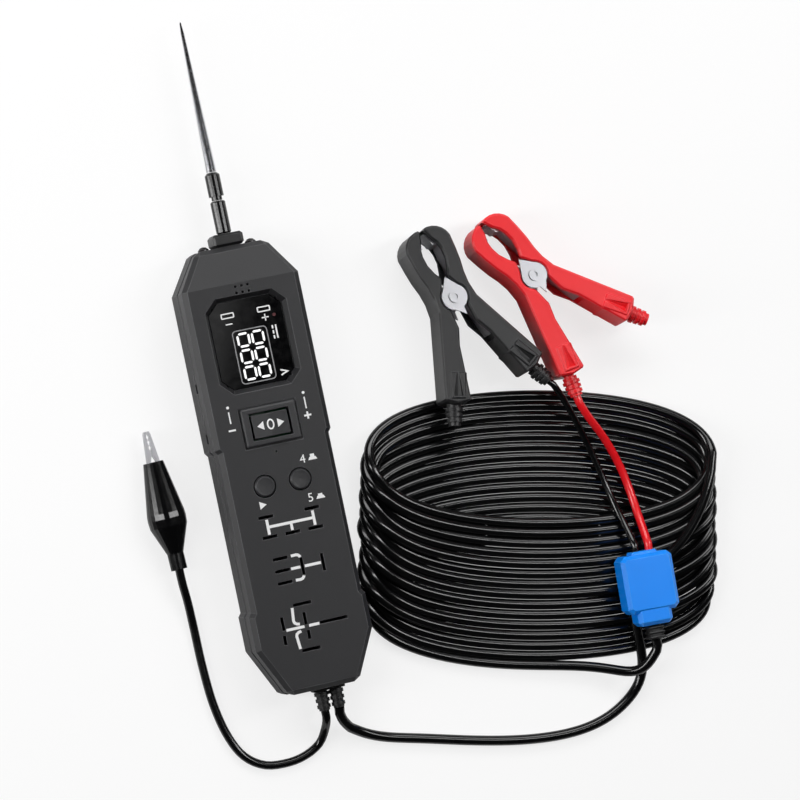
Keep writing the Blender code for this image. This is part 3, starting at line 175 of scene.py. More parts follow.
def pad_ink(name, tone, roughness=0.55, glow=0.0):
    """Opaque printing ink: flat, a little uneven where the pad left it thinner, lit or not."""
    finish, tree, shader, place = blank_finish(name)
    blots = add(tree, "ShaderNodeTexNoise", {"Scale": 1 / (0.5 * MM), "Detail": 2.0}, {"Vector": place})
    thin = [c * 0.90 for c in colour(tone)[:3]] + [1.0]
    tint = add(tree, "ShaderNodeMix", {6: thin, 7: colour(tone)}, {0: blots.outputs["Fac"]},
               data_type="RGBA")
    bump = add(tree, "ShaderNodeBump", {"Distance": 0.01 * MM, "Strength": 0.3},
               {"Height": blots.outputs["Fac"]})
    tree.links.new(tint.outputs[2], shader.inputs["Base Color"])
    tree.links.new(bump.outputs["Normal"], shader.inputs["Normal"])
    shader.inputs["Roughness"].default_value = roughness
    shader.inputs["Emission Color"].default_value = colour("#ffffff")
    shader.inputs["Emission Strength"].default_value = glow
    return finish


def stroke(points, width, closed=False):
    """A flat line of ink with mitred corners, from points in millimetres, as vertices and faces."""
    points = np.array([(p[0], p[1]) for p in points], float)
    ahead = np.roll(points, -1, axis=0) - points
    if not closed:
        ahead[-1] = ahead[-2]
    ahead /= np.linalg.norm(ahead, axis=1)[:, None]
    back = np.roll(ahead, 1, axis=0)
    if not closed:
        back[0] = ahead[0]
    across = np.column_stack([-(ahead + back)[:, 1], (ahead + back)[:, 0]])
    across /= np.linalg.norm(across, axis=1)[:, None]
    square = np.column_stack([-ahead[:, 1], ahead[:, 0]])
    across *= (width / 2 / np.sum(across * square, axis=1))[:, None]
    rims = [(points + across, 0.0), (points - across, 0.0), (points + across, INK_MM),
            (points - across, INK_MM)]
    verts = [(x, y, z) for rim, z in rims for x, y in rim]
    n = len(points)
    faces = []
    for i in range(n if closed else n - 1):
        k = (i + 1) % n
        for a, b in ((0, 1), (1, 3), (3, 2), (2, 0)):
            faces.append((a * n + i, a * n + k, b * n + k, b * n + i))
    if not closed:
        faces += [(0, n, 3 * n, 2 * n), (n - 1, 3 * n - 1, 4 * n - 1, 2 * n - 1)]
    return verts, faces


def patch(corners):
    """A filled flat shape of ink from its corners in millimetres."""
    n = len(corners)
    verts = [(x, y, z) for z in (0.0, INK_MM) for x, y in corners]
    faces = [tuple(range(n)), tuple(range(n, 2 * n))]
    return verts, faces + [(i, (i + 1) % n, n + (i + 1) % n, n + i) for i in range(n)]


def oval(cx, cy, half_x, half_y, start=0, end=360, count=28):
    """Points round an oval, or round part of one."""
    turn = np.radians(np.linspace(start, end, count, endpoint=end - start < 360))
    return list(zip(cx + half_x * np.cos(turn), cy + half_y * np.sin(turn)))


def rounded_box(cx, cy, half_x, half_y, corner):
    """Points round a box with rounded corners."""
    return [point for number, (sx, sy) in enumerate(((1, 1), (-1, 1), (-1, -1), (1, -1)))
            for point in oval(cx + sx * (half_x - corner), cy + sy * (half_y - corner), corner, corner,
                              90 * number, 90 * number + 90, 6)]


def printed(name, shapes, height, finish, body="root", lift=None):
    """One piece of ink from several shapes, laid on a surface at a height in millimetres."""
    sheet = bmesh.new()
    for verts, faces in shapes:
        made = [sheet.verts.new((x * MM, y * MM, (z + height + 0.01 + (lift(x) if lift else 0.0)) * MM))
                for x, y, z in verts]
        for face in faces:
            sheet.faces.new([made[i] for i in face])
    bmesh.ops.recalc_face_normals(sheet, faces=sheet.faces)
    mesh = bpy.data.meshes.new(name)
    sheet.to_mesh(mesh)
    sheet.free()
    mesh.materials.append(finish)
    piece = bpy.data.objects.new(name, mesh)
    bpy.context.scene.collection.objects.link(piece)
    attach(piece, body)
    return piece


ink_white = pad_ink("pad_printed_ink_white", "#ececec")
ink_grey = pad_ink("screen_printed_ink_grey", "#8c8c8e")
signs = [stroke(rounded_box(side * 7.65, 64.1, 2.55, 0.9, 0.25), 0.5, True) for side in (-1, 1)]
signs += [stroke([(-9.1, 60.6), (-6.2, 60.6)], 0.5), stroke([(6.2, 60.6), (9.1, 60.6)], 0.5),
          stroke([(7.65, 59.2), (7.65, 62.0)], 0.5)]
signs += [stroke([(11.2, 56.9), (11.2, 51.3)], 0.65)]
signs += [stroke([(9.8, y), (9.8, y - 1.4)], 0.65) for y in (56.9, 54.8, 52.7)]
signs += [stroke([(9.4, 38.4), (12.2, 37.3), (9.4, 36.2)], 0.6)]
printed("window_signs", signs, WINDOW_Z, ink_white)
printed("window_frame", [stroke(rounded_box(0, 46.4, 7.2, 10.9, 1.5), 0.45, True)], WINDOW_Z, ink_grey)
diode_red = pad_ink("red_diode_lens", "#4a0610", 0.45)
printed("window_red_dot", [patch(oval(11.5, 61.0, 0.7, 0.7, count=16))], WINDOW_Z, diode_red)


# The lit bars of the six figures: white diode segments behind the window, bright enough to
# read by day. One flat bar, pointed at both ends, is set twenty-four times.
def set_out(name, corners, places, height, finish):
    """Copies of one flat bar, by Geometry Nodes: each place is x, y, turn, length, width."""
    verts, faces = patch(corners)
    shape = bpy.data.meshes.new(name + "_shape")
    shape.from_pydata([tuple(c * MM for c in v) for v in verts], [], faces)
    bar = bpy.data.objects.new(name + "_shape", shape)
    points = bpy.data.meshes.new(name)
    points.from_pydata([(x * MM, y * MM, (height + 0.01) * MM) for x, y, *rest in places], [], [])
    for column, label in ((2, "turn"), (3, "long"), (4, "wide")):
        layer = points.attributes.new(label, "FLOAT", "POINT")
        layer.data.foreach_set("value", [float(place[column]) for place in places])
    tree = bpy.data.node_groups.new(name, "GeometryNodeTree")
    for label, kind in (("Points", "NodeSocketGeometry"), ("Bar", "NodeSocketObject"),
                        ("Finish", "NodeSocketMaterial")):
        tree.interface.new_socket(label, in_out="INPUT", socket_type=kind)
    tree.interface.new_socket("Set", in_out="OUTPUT", socket_type="NodeSocketGeometry")
    given = add(tree, "NodeGroupInput").outputs
    read = {label: add(tree, "GeometryNodeInputNamedAttribute", {"Name": label}, data_type="FLOAT").outputs[0]
            for label in ("turn", "long", "wide")}
    turned = add(tree, "ShaderNodeCombineXYZ", links={"Z": read["turn"]})
    scaled = add(tree, "ShaderNodeCombineXYZ", {"Z": 1.0}, {"X": read["long"], "Y": read["wide"]})
    source = add(tree, "GeometryNodeObjectInfo", links={"Object": given["Bar"]})
    placed = add(tree, "GeometryNodeInstanceOnPoints",
                 links={"Points": given["Points"], "Instance": source.outputs["Geometry"],
                        "Rotation": turned.outputs[0], "Scale": scaled.outputs[0]})
    real = add(tree, "GeometryNodeRealizeInstances", links={"Geometry": placed.outputs[0]})
    dressed = add(tree, "GeometryNodeSetMaterial",
                  links={"Geometry": real.outputs[0], "Material": given["Finish"]})
    add(tree, "NodeGroupOutput", links={"Set": dressed.outputs[0]})
    holder = bpy.data.objects.new(name + "_points", points)
    bpy.context.scene.collection.objects.link(holder)
    layout = holder.modifiers.new("set_out", "NODES")
    layout.node_group = tree
    for item in tree.interface.items_tree:
        if item.name in ("Bar", "Finish"):
            layout[item.identifier] = bar if item.name == "Bar" else finish
    bpy.context.view_layer.update()
    final = bpy.data.meshes.new_from_object(holder.evaluated_get(bpy.context.evaluated_depsgraph_get()))
    bpy.data.objects.remove(holder)
    bpy.data.objects.remove(bar)
    sheet = bmesh.new()
    sheet.from_mesh(final)
    bmesh.ops.recalc_face_normals(sheet, faces=sheet.faces)
    sheet.to_mesh(final)
    sheet.free()
    piece = bpy.data.objects.new(name, final)
    bpy.context.scene.collection.objects.link(piece)
    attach(piece, "root")
    return piece


FIGURE_X, FIGURE_Y, FIGURE_PITCH = 3.05, 46.4, 6.85
BAR_WIDE, LEVEL_BAR, UPRIGHT_BAR = 0.9, 3.8, 4.3
LEVEL_OUT, UPRIGHT_OUT = 2.55, 2.3
POINTED = [(-0.5, 0.0), (-0.38, 0.5), (0.38, 0.5), (0.5, 0.0), (0.38, -0.5), (-0.38, -0.5)]
bars = []
for column in (-1, 1):
    for row in (-1, 0, 1):
        middle = (column * FIGURE_X, FIGURE_Y + row * FIGURE_PITCH)
        bars += [(middle[0], middle[1] + side * LEVEL_OUT, 0.0, LEVEL_BAR, BAR_WIDE) for side in (-1, 1)]
        bars += [(middle[0] + side * UPRIGHT_OUT, middle[1], math.pi / 2, UPRIGHT_BAR, BAR_WIDE)
                 for side in (-1, 1)]
lit = pad_ink("lit_diode_segment", "#f4f4f4", 0.3, glow=0.35)
set_out("window_figures", POINTED, bars, WINDOW_Z, lit)

# Rocker, bezel and push buttons: black polyamide with a slightly finer grain than the housing.
# It looks even and satin. The signs are pad printed into the rocker's hollow face.
polyamide = moulded("moulded_polyamide_black", "#252527", "#66666a", 0.35, 0.03, 0.44, 0.25)
for key in ("rocker_bezel", "rocker", "test_button", "pin_button"):
    dress(key, polyamide)
ROCKER_HALF, ROCKER_DIP = 7.5, 0.3
rocker_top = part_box("rocker")[1][2] / MM
arrows = [patch([(side * 5.7, 17.5), (side * 2.9, 19.3), (side * 2.9, 15.7)]) for side in (-1, 1)]
printed("rocker_signs", arrows + [stroke(oval(0, 17.5, 1.25, 1.9), 0.6, True)], rocker_top - ROCKER_DIP,
        ink_white, "rocker_body", lambda x: ROCKER_DIP * abs(x) / ROCKER_HALF)

# Print on the face: flat white pad ink, in millimetres from the tester's middle. Lines join
# the relay slots, beside plain numbers and signs for the buttons.
FACE_Z = 25.0
LINE = 1.15
face = [stroke([(-9.7, -20.2), (-9.7, -26.4)], LINE), stroke([(9.7, -20.4), (9.7, -26.4)], LINE),
        stroke([(-9.1, -23.3), (9.1, -23.3)], LINE), stroke([(0, -23.9), (0, -26.5)], LINE),
        stroke([(-3.9, -41.8), (0.1, -41.8)], LINE), stroke([(1.9, -41.8), (8.8, -41.8)], LINE),
        stroke([(-11.0, -65.8), (-3.3, -65.8)], LINE), stroke([(-1.4, -65.8), (3.0, -65.8)], LINE)]
for side in (-1, 1):
    face.append(stroke([(-2.9, -41.7 + side * 5.0), (-0.9, -41.7 + side * 5.1), (0.0, -41.7 + side * 4.9),
                        (0.6, -41.7 + side * 4.3), (0.8, -41.7 + side * 3.8)], LINE))
    face.append(stroke([(-6.8, -65.9 + side * 8.5), (-7.3, -65.9 + side * 3.2), (-7.0, -65.9 + side * 2.3),
                        (-6.2, -65.9 + side * 1.75), (-5.0, -65.9 + side * 1.45)], LINE))
for side in (-1, 1):
    face += [patch(oval(side * 16.0, 27.4, 0.6, 0.6, count=16)),
             stroke([(side * 16.0, 25.6), (side * 16.0, 20.8)], 0.55),
             stroke([(side * 16.0 - 1.5, 18.0), (side * 16.0 + 1.5, 18.0)], 0.75)]
face.append(patch([(15.62, 18.4), (15.62, 19.5), (16.38, 19.5), (16.38, 18.4)]))
face.append(patch([(15.62, 16.5), (15.62, 17.6), (16.38, 17.6), (16.38, 16.5)]))
for y, raised in ((-0.1, 1.2), (-16.2, 0.8)):
    face.append(patch([(12.4, y), (16.2, y), (15.6, y + 1.2), (15.2, y + 1.2), (15.2, y + 1.2 + raised),
                       (13.4, y + 1.2 + raised), (13.4, y + 1.2), (13.0, y + 1.2)]))
face.append(patch([(-11.2, -12.5), (-8.3, -14.1), (-11.2, -15.7)]))
printed("face_print", face, FACE_Z, ink_white)
for figure, x, y in (("4", 8.9, -0.7), ("5", 8.9, -16.7)):
    text = bpy.data.curves.new("figure_" + figure, "FONT")
    text.body = figure
    text.size = 5.0 * MM
    text.extrude = INK_MM / 2 * MM
    holder = bpy.data.objects.new("figure_" + figure, text)
    bpy.context.scene.collection.objects.link(holder)
    bpy.context.view_layer.update()
    flat = bpy.data.meshes.new_from_object(holder.evaluated_get(bpy.context.evaluated_depsgraph_get()))
    flat.transform(Matrix.Translation((x * MM, y * MM, (FACE_Z + 0.01 + INK_MM / 2) * MM)))
    bpy.data.objects.remove(holder)
    sheet = bmesh.new()
    sheet.from_mesh(flat)
    bmesh.ops.remove_doubles(sheet, verts=sheet.verts, dist=0.0001 * MM)
    bmesh.ops.recalc_face_normals(sheet, faces=sheet.faces)
    sheet.to_mesh(flat)
    sheet.free()
    flat.materials.clear()
    flat.materials.append(ink_white)
    piece = bpy.data.objects.new("number_" + figure, flat)
    bpy.context.scene.collection.objects.link(piece)
    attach(piece, "root")

# Probe needle and its two sleeves: a turned steel needle with polished black nickel, which
# mirrors the room darkly, in smooth heat-shrunk sleeves. The nose is a glossier ABS than the
# housing, and two lamps have dark lens caps.
needle_steel = rolled_metal("black_nickel_plate", "#b8b8bc", 0.10, 1.6, (1.0, 6.0, 1.0),
                            edge_tint=0.4)
nose_abs = moulded("gloss_moulded_abs_black", "#131314", "#38383a", 0.6, 0.02, 0.38)
dress("probe_nose", nose_abs)
dress("probe_needle", needle_steel)
shrink = moulded("heat_shrunk_polyolefin", "#0a0a0b", "#1a1a1b", 1.2, 0.02, 0.20, 0.2)
for sleeve in ("sleeve_lower", "sleeve_upper"):
    dress(sleeve, shrink)
lens = moulded("tinted_lens_acrylic", "#120d0e", "#1c1718", 3.0, 0.001, 0.08, 0.1)
for lamp in ("lamp_left", "lamp_right"):
    dress(lamp, lens)

# Strain reliefs: soft PVC moulded on over the leads, at the tester's foot and at the blue
# box. Its skin is satin, so the ribs show as soft lights.
soft_pvc = moulded("soft_pvc_black", "#161617", "#2a2a2b", 0.6, 0.03, 0.42, 0.2)
for soft in ("twin_relief", "box_collar"):
    dress(soft, soft_pvc)


# Supply lead: one round, gloss black PVC lead of 4.2 mm. It leaves the tester's foot, runs
# over the floor and up under the blue box, makes fifteen turns that have slid over each
# other flat, and rises from the last turn's front into the collar. Its skin shines sharply.
def gloss_pvc(name, tone, roughness, drawn_tone):
    """Extruded PVC jacket: a smooth gloss skin with long, slow die waves."""
    finish, tree, shader, place = blank_finish(name)
    waves = add(tree, "ShaderNodeTexNoise", {"Scale": 1 / (2.2 * MM), "Detail": 2.0}, {"Vector": place})
    tint = add(tree, "ShaderNodeMix", {6: colour(tone), 7: colour(drawn_tone)},
               {0: waves.outputs["Fac"]}, data_type="RGBA")
    gloss = add(tree, "ShaderNodeMapRange", {"To Min": roughness - 0.05, "To Max": roughness + 0.07},
                {"Value": waves.outputs["Fac"]})
    bump = add(tree, "ShaderNodeBump", {"Distance": 0.02 * MM, "Strength": 0.4},
               {"Height": waves.outputs["Fac"]})
    tree.links.new(tint.outputs[2], shader.inputs["Base Color"])
    tree.links.new(gloss.outputs["Result"], shader.inputs["Roughness"])
    tree.links.new(bump.outputs["Normal"], shader.inputs["Normal"])
    shader.inputs["IOR"].default_value = 1.52
    return finish


def smooth_route(points, step):
    """Catmull-Rom curve through the route's own points, read at even steps."""
    points = [Vector(p) for p in points]
    padded = [2 * points[0] - points[1]] + points + [2 * points[-1] - points[-2]]
    fine = []
    for a, b, c, d in zip(padded, padded[1:], padded[2:], padded[3:]):
        for i in range(24):
            t = i / 24
            fine.append(0.5 * (2 * b + (c - a) * t + (2 * a - 5 * b + 4 * c - d) * t * t
                               + (3 * b - a - 3 * c + d) * t ** 3))
    fine.append(points[-1])
    fine = np.array(fine)
    along = np.concatenate([[0.0], np.cumsum(np.linalg.norm(np.diff(fine, axis=0), axis=1))])
    wanted = np.linspace(0.0, along[-1], max(3, round(along[-1] / step)) + 1)
    return np.column_stack([np.interp(wanted, along, fine[:, k]) for k in range(3)])


def jacket(name, points, diameter, finish):
    """A cable of one open curve through the points, with round ends."""
    curve = bpy.data.curves.new(name, "CURVE")
    curve.dimensions = "3D"
    curve.bevel_depth = diameter / 2
    curve.bevel_resolution = 6
    curve.use_fill_caps = True
    spline = curve.splines.new("POLY")
    spline.points.add(len(points) - 1)
    spline.points.foreach_set("co", np.column_stack([points, np.ones(len(points))]).ravel())
    spline.use_smooth = True
    curve.materials.append(finish)
    made = bpy.data.objects.new(name, curve)
    bpy.context.scene.collection.objects.link(made)
    return made


def evened(values, passes):
    """Average each value towards its neighbours, ends kept."""
    for _ in range(passes):
        values[1:-1] += 0.5 * (0.5 * (values[:-2] + values[2:]) - values[1:-1])
    return values


LEAD_D = 4.2
COIL_CENTRE = Vector((0.1140, -0.0175, 0.0))
COIL_TURN = -0.2060
coil_place = Matrix.Translation(COIL_CENTRE) @ Matrix.Rotation(COIL_TURN, 4, "Z")
TURNS = 15
TURN_POINTS = 96
TURN_HALF_LONG = 73.9
TURN_HALF_WIDE = 25.8
TURN_PITCH = 4.27
END_FULLNESS = 0.12
FIRST_TURN_OFFSET = 1.2
LAST_TURN_SHORT = 0.20
STACK_SHARE = 0.9
BODY_FOOT_EXIT = -0.1021
FLOOR_Z = LEAD_D / 2 * MM + 0.0001


def on_coil(across, along, height):
    """The coil's own metres as a point of the world."""
    return coil_place @ Vector((across, along, height))


def in_coil(points):
    """World metres as the coil's own millimetres."""
    back = coil_place.inverted()
    return np.array([list(back @ Vector(p)) for p in points]) / MM


run = smooth_route(
    [(0.0071, BODY_FOOT_EXIT, 0.0105), (0.0071, BODY_FOOT_EXIT - 0.0032, 0.0105),
     (0.0092, -0.1095, 0.0068), (0.0140, -0.1143, 0.0030), (0.0225, -0.1185, FLOOR_Z),
     (0.0398, -0.1228, FLOOR_Z), (0.0600, -0.1283, FLOOR_Z), (0.0800, -0.1328, FLOOR_Z),
     (0.0980, -0.1350, FLOOR_Z), (0.1130, -0.1345, FLOOR_Z), (0.1250, -0.1310, FLOOR_Z),
     (0.1340, -0.1250, FLOOR_Z), on_coil(0.0455, -0.0960, 0.0030), on_coil(0.0455, -0.0895, 0.0056),
     on_coil(0.0440, -0.0820, 0.0069), on_coil(0.0415, -0.0730, 0.0069),
     on_coil(0.0400, -0.0640, 0.0069), on_coil(0.0415, -0.0560, 0.0069),
     on_coil(0.0465, -0.0500, 0.0069), on_coil(0.0530, -0.0452, 0.0075),
     on_coil(0.0600, -0.0385, 0.0090), on_coil(0.0660, -0.0290, 0.0105),
     on_coil(0.0705, -0.0180, 0.0110), on_coil(0.0732, -0.0070, 0.0110)], 0.0025)
run[5:] = evened(run[5:].copy(), 16)
run = in_coil(run)
turn = np.arange(TURNS * TURN_POINTS - int(TURN_POINTS * LAST_TURN_SHORT) + 1) / TURN_POINTS
angle = 2 * math.pi * turn
reach = (TURN_HALF_LONG + 0.4 * np.sin(1.9 * turn) + 0.25 * np.sin(5.1 * turn)) \
    * (1 + END_FULLNESS * np.sin(angle) ** 2)
rings = np.column_stack([reach * np.cos(angle),
                         TURN_HALF_WIDE * np.sin(angle) - FIRST_TURN_OFFSET - TURN_PITCH * (turn - 0.25),
                         LEAD_D / 2 + (TURNS - turn) * LEAD_D * STACK_SHARE])
box_place = Matrix.Translation((0.1455, -0.0795, 0.0094)) @ Matrix.Rotation(-0.0400, 4, "Z")
BOX_MIDDLE = 0.00625
rise = in_coil(smooth_route(
    [on_coil(0.0315, -0.0898, 0.0040), on_coil(0.0370, -0.0928, 0.0064),
     on_coil(0.0425, -0.0926, 0.0104), on_coil(0.0456, -0.0892, 0.0140),
     box_place @ Vector((0, -0.0275, BOX_MIDDLE)), box_place @ Vector((0, -0.02415, BOX_MIDDLE))], 0.0025))
lead = np.vstack([run, rings, rise])

# The lead settles: it falls, stays near its plan, and is pushed apart where its turns come
# closer than its own width. The floor run and the rise are held. Lengths are millimetres.
SETTLE_STEPS = 400
FAST_SHARE, FAST_FALL, SLOW_FALL = 0.6, 0.35, 0.06
PLAN_GIVE = 0.8
UPWARD_PUSH = 0.6
PUSH_SHARE = 0.35
NEAR_POINTS = 8
RUN_FREE_POINTS = 32
END_SMOOTHED = 60
held = np.zeros(len(lead), bool)
held[:len(run) - RUN_FREE_POINTS] = True
held[-len(rise) + 2:] = True
target = lead.copy()
apart = np.hypot(lead[:, None, 0] - lead[None, :, 0], lead[:, None, 1] - lead[None, :, 1])
upper, lower = np.where(apart < 2 * LEAD_D)
later = lower - upper > NEAR_POINTS
upper, lower = upper[later], lower[later]
for step in range(SETTLE_STEPS):
    lead[:, 2] -= FAST_FALL if step < SETTLE_STEPS * FAST_SHARE else SLOW_FALL
    lead[:, 2] = evened(lead[:, 2].copy(), 6)
    lead[:, :2] = target[:, :2] + PLAN_GIVE * evened(lead[:, :2] - target[:, :2], 12)
    lead[held] = target[held]
    for _ in range(6):
        between = lead[upper] - lead[lower]
        distance = np.linalg.norm(between, axis=1) + 1e-9
        close = distance < LEAD_D
        push = between[close] / distance[close][:, None]
        push[:, 2] = np.maximum(push[:, 2], UPWARD_PUSH)
        push *= PUSH_SHARE * ((LEAD_D - distance[close]) / np.linalg.norm(push, axis=1))[:, None]
        for k in range(3):
            lead[:, k] += 0.5 * np.bincount(upper[close], push[:, k], len(lead))
            lead[:, k] -= 0.5 * np.bincount(lower[close], push[:, k], len(lead))
        lead[:, 2] = np.maximum(lead[:, 2], LEAD_D / 2 + 0.05)
        lead[held] = target[held]
moved = evened(lead[:, :2] - target[:, :2], 12)
moved[held] = 0.0
lead[:, :2] = target[:, :2] + moved
lead[:, 2] = evened(lead[:, 2].copy(), 8)
lead[-END_SMOOTHED:-2] = evened(lead[-END_SMOOTHED:-2].copy(), 16)
lead = np.array([list(coil_place @ Vector(p * MM)) for p in lead])
black_pvc = gloss_pvc("extruded_pvc_black", "#060607", 0.17, "#0b0b0c")
supply = jacket("supply_lead", lead, LEAD_D * MM, black_pvc)
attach(supply, "root")
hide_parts("main_lead_run", "main_lead_coil", "main_lead_end")

# Clip lead: the same extruded PVC, 3.5 mm thick, from the foot over the floor and along the
# tester's side to the small clip.
CLIP_LEAD_D = 0.0035
clip_place = Matrix.Translation((-0.0472, 0.0080, 0.0072)) @ Matrix.Rotation(math.radians(2), 4, "Z")
low = CLIP_LEAD_D / 2 + 0.0001
clip_route = smooth_route(
    [(0.0009, BODY_FOOT_EXIT, 0.0105), (0.0009, BODY_FOOT_EXIT - 0.0030, 0.0105),
     (0.0006, -0.1092, 0.0062), (-0.0022, -0.1152, 0.0022), (-0.0085, -0.1188, low),
     (-0.0165, -0.1203, low), (-0.0265, -0.1192, low), (-0.0345, -0.1135, low),
     (-0.0395, -0.1035, low), (-0.0425, -0.0900, low), (-0.0437, -0.0740, low),
     (-0.0440, -0.0580, 0.0022), (-0.0446, -0.0470, 0.0042),
     clip_place @ Vector((0, -0.0470, -0.0008)), clip_place @ Vector((0, -0.0395, 0))], 0.0025)
clip_lead = jacket("earth_lead", clip_route, CLIP_LEAD_D, black_pvc)
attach(clip_lead, "root")
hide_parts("clip_lead")

# Small clip: pressed spring-steel jaws, nickel plated, in a dipped PVC boot. The jaws look
# pale and brushed, and the boot's smooth skin shows sharp lights on near black.
for metal in ("clip_fixed_jaw", "clip_moving_jaw", "clip_pin", "clip_spring"):
    dress(metal, nickel)
boot_pvc = moulded("dipped_pvc_black", "#070708", "#161617", 2.4, 0.02, 0.17, 0.2)
dress("clip_boot", boot_pvc)

# Blue in-line box: ABS, moulded and snapped shut round the lead's fuse and splice. Its skin
# is smoother than the housing's, so the blue keeps one broad, soft shine.
blue_abs = moulded("moulded_abs_blue", "#008cff", "#55b8ff", 0.9, 0.02, 0.34, 0.35, uneven=0.05)
dress("fuse_box", blue_abs)

# Two battery clamps: each a pair of moulded polypropylene arms on toothed, plated liners,
# with a rivet and a spring. The arms are satin. Black is the return and red the feed.
clamp_black = moulded("moulded_polypropylene_black", "#202021", "#5a5a5c", 0.7, 0.03, 0.42, 0.35)
clamp_red = moulded("moulded_polypropylene_red", "#e8141e", "#ff6a72", 0.7, 0.03, 0.38, 0.35,
                     uneven=0.06)
for tone, shell_finish in (("black", clamp_black), ("red", clamp_red)):
    for piece in ("fixed_arm", "moving_arm", "relief"):
        dress("%s_%s" % (tone, piece), shell_finish)
    for piece in ("fixed_plate", "moving_plate", "rivet", "spring"):
        dress("%s_%s" % (tone, piece), nickel)

# The two thin leads: extruded PVC, 2.8 mm in black and 3.4 mm in red, from the clamps'
# reliefs over the coil into the top of the blue box.
red_pvc = gloss_pvc("extruded_pvc_red", "#dc1019", 0.24, "#ec1c26")
CLAMP_HANDLE = 0.0430 * 1.03
CLAMP_TILT = math.radians(5)
HANDLE_SPREAD = math.radians(25)
CLAMP_HALF_THICK, CLAMP_REACH, FLOOR_GAP = 0.0095, 0.0313, 0.0003
CLAMP_HEIGHT = (CLAMP_HALF_THICK * math.cos(CLAMP_TILT) + CLAMP_REACH * math.sin(CLAMP_TILT)
                + FLOOR_GAP)
RELIEF_MOUTH, LEAD_CLEAR = 0.0089, 0.0120
BOX_TOP = 0.01345
for tone, pivot, axis, side, diameter, finish, entry, middle in (
        ("black", (0.0880, 0.0526), 104, 1, 0.0028, black_pvc, -0.0026,
         ((0.1258, 0.0045, 0.0158), (0.1301, -0.0045, 0.0118), (0.1343, -0.0155, 0.0080),
          (0.1378, -0.0280, 0.0067), (0.1403, -0.0410, 0.0070), (0.1424, -0.0525, 0.0105))),
        ("red", (0.1238, 0.0551), 124, -1, 0.0034, red_pvc, 0.0034,
         ((0.1345, -0.0055, 0.0160), (0.1400, -0.0135, 0.0122), (0.1450, -0.0235, 0.0085),
          (0.1483, -0.0345, 0.0070), (0.1496, -0.0455, 0.0078), (0.1499, -0.0550, 0.0110)))):
    place = (Matrix.Translation((*pivot, CLAMP_HEIGHT)) @ Matrix.Rotation(math.radians(axis - 90), 4, "Z")
             @ Matrix.Rotation(-CLAMP_TILT, 4, "X"))
    along = Vector((side * math.sin(HANDLE_SPREAD), -math.cos(HANDLE_SPREAD), 0.0))
    end = along * CLAMP_HANDLE
    route = [place @ (end + along * RELIEF_MOUTH), place @ (end + along * LEAD_CLEAR)]
    route += [Vector(point) for point in middle]
    route += [box_place @ Vector((entry, BOX_TOP + ahead, BOX_MIDDLE)) for ahead in (0.0040, 0.0001)]
    route = smooth_route(route, 0.0025)
    route[1:-1] = evened(route[1:-1].copy(), 8)
    made = jacket(tone + "_clamp_lead", route, diameter, finish)
    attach(made, "root")
    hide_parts(tone + "_lead")

# Floor, light and camera: a matt white table under two long, narrow soft boxes at the sides
# and a wide one behind. The camera's own rays see the table near white.
floor_mesh = bpy.data.meshes.new("table")
floor_mesh.from_pydata([(-6, -6, 0), (6, -6, 0), (6, 6, 0), (-6, 6, 0)], [], [(0, 1, 2, 3)])
table = bpy.data.objects.new("table", floor_mesh)
bpy.context.scene.collection.objects.link(table)
table_finish, tree, shader, place = blank_finish("white_table")
shader.inputs["Base Color"].default_value = colour("#f8f8f8")
shader.inputs["Roughness"].default_value = 0.9
path = add(tree, "ShaderNodeLightPath")
plain = add(tree, "ShaderNodeEmission", {"Strength": 1.0})
seen = add(tree, "ShaderNodeMath", {1: 0.75}, {0: path.outputs["Is Camera Ray"]}, operation="MULTIPLY")
surface = add(tree, "ShaderNodeMixShader", links={0: seen.outputs[0], 1: shader.outputs["BSDF"],
                                                 2: plain.outputs["Emission"]})
tree.links.new(surface.outputs[0], tree.nodes["Material Output"].inputs["Surface"])
floor_mesh.materials.append(table_finish)

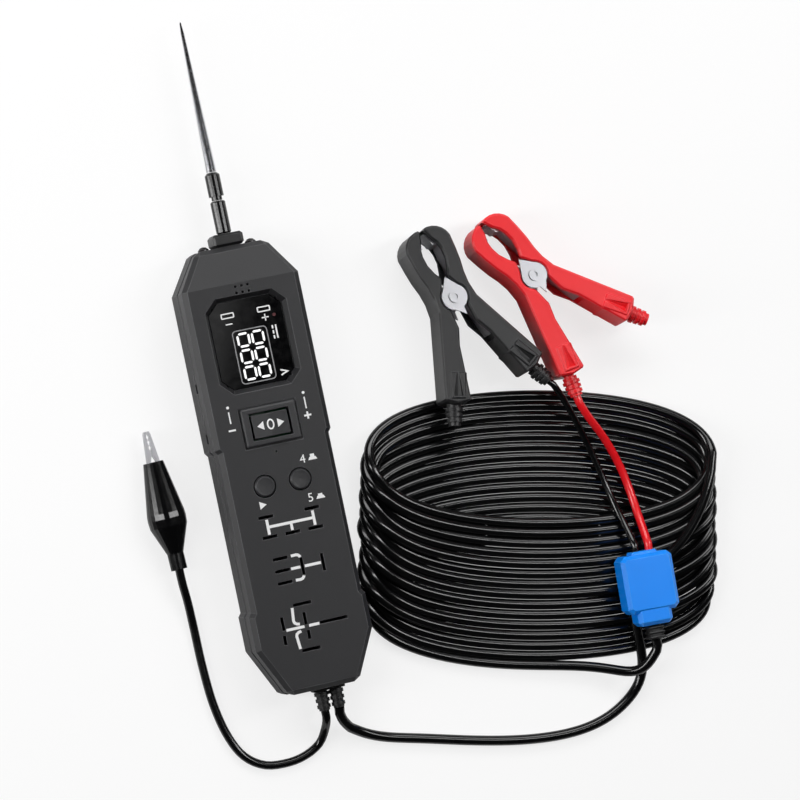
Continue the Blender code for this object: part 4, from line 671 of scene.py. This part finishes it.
world = bpy.data.worlds.new("studio")
world.use_nodes = True
bpy.context.scene.world = world
tree = world.node_tree
sky = add(tree, "ShaderNodeSeparateXYZ", links={0: add(tree, "ShaderNodeTexCoord").outputs["Generated"]})
shade = add(tree, "ShaderNodeMapRange", {"From Min": 0.15, "From Max": 0.85, "To Min": 0.80, "To Max": 0.14},
            {"Value": sky.outputs["Z"]})
tree.links.new(shade.outputs["Result"], tree.nodes["Background"].inputs["Strength"])
for name, where, aim, size, watts in (
        ("left_box", (-0.72, 0.10, 0.48), (0.03, 0.0, 0.0), (0.15, 0.90), 5.0),
        ("right_box", (0.75, 0.15, 0.95), (0.06, 0.0, 0.0), (0.15, 0.90), 5.0),
        ("back_box", (0.15, 0.85, 0.75), (0.05, 0.0, 0.0), (1.10, 0.44), 8.0)):
    light = bpy.data.lights.new(name, "AREA")
    light.shape = "RECTANGLE"
    light.size, light.size_y = size
    light.energy = watts
    holder = bpy.data.objects.new(name, light)
    bpy.context.scene.collection.objects.link(holder)
    holder.location = where
    holder.rotation_euler = (Vector(aim) - Vector(where)).to_track_quat("-Z", "Y").to_euler()

# A dim card high above. The window mirrors it, and its edge lies slantwise across the glass.
card = bpy.data.lights.new("card", "AREA")
card.shape = "RECTANGLE"
card.size, card.size_y, card.energy = 0.30, 0.60, 0.5
holder = bpy.data.objects.new("card", card)
bpy.context.scene.collection.objects.link(holder)
holder.location = (0.174, 0.149, 1.6)
holder.rotation_euler = (0.0, 0.0, math.radians(-22.3))

TILT = math.radians(14)
ROLL = math.radians(11.8)
IMAGE_WIDTH = 0.328
STAND_OFF = 1.5
AIM = Vector((0.0552, 0.0163, 0.025))
right_level = Vector((math.cos(TILT), 0, math.sin(TILT)))
towards_eye = Vector((-math.sin(TILT), 0, math.cos(TILT)))
image_right = math.cos(ROLL) * right_level - math.sin(ROLL) * Vector((0, 1, 0))
image_up = math.sin(ROLL) * right_level + math.cos(ROLL) * Vector((0, 1, 0))
camera = bpy.data.cameras.new("camera")
camera.sensor_width = 36.0
camera.lens = 36.0 * STAND_OFF / IMAGE_WIDTH
camera_holder = bpy.data.objects.new("camera", camera)
bpy.context.scene.collection.objects.link(camera_holder)
turned = Matrix((image_right, image_up, towards_eye)).transposed().to_4x4()
camera_holder.matrix_world = Matrix.Translation(AIM + towards_eye * STAND_OFF) @ turned
bpy.context.scene.camera = camera_holder
bpy.context.scene.view_settings.view_transform = "Standard"
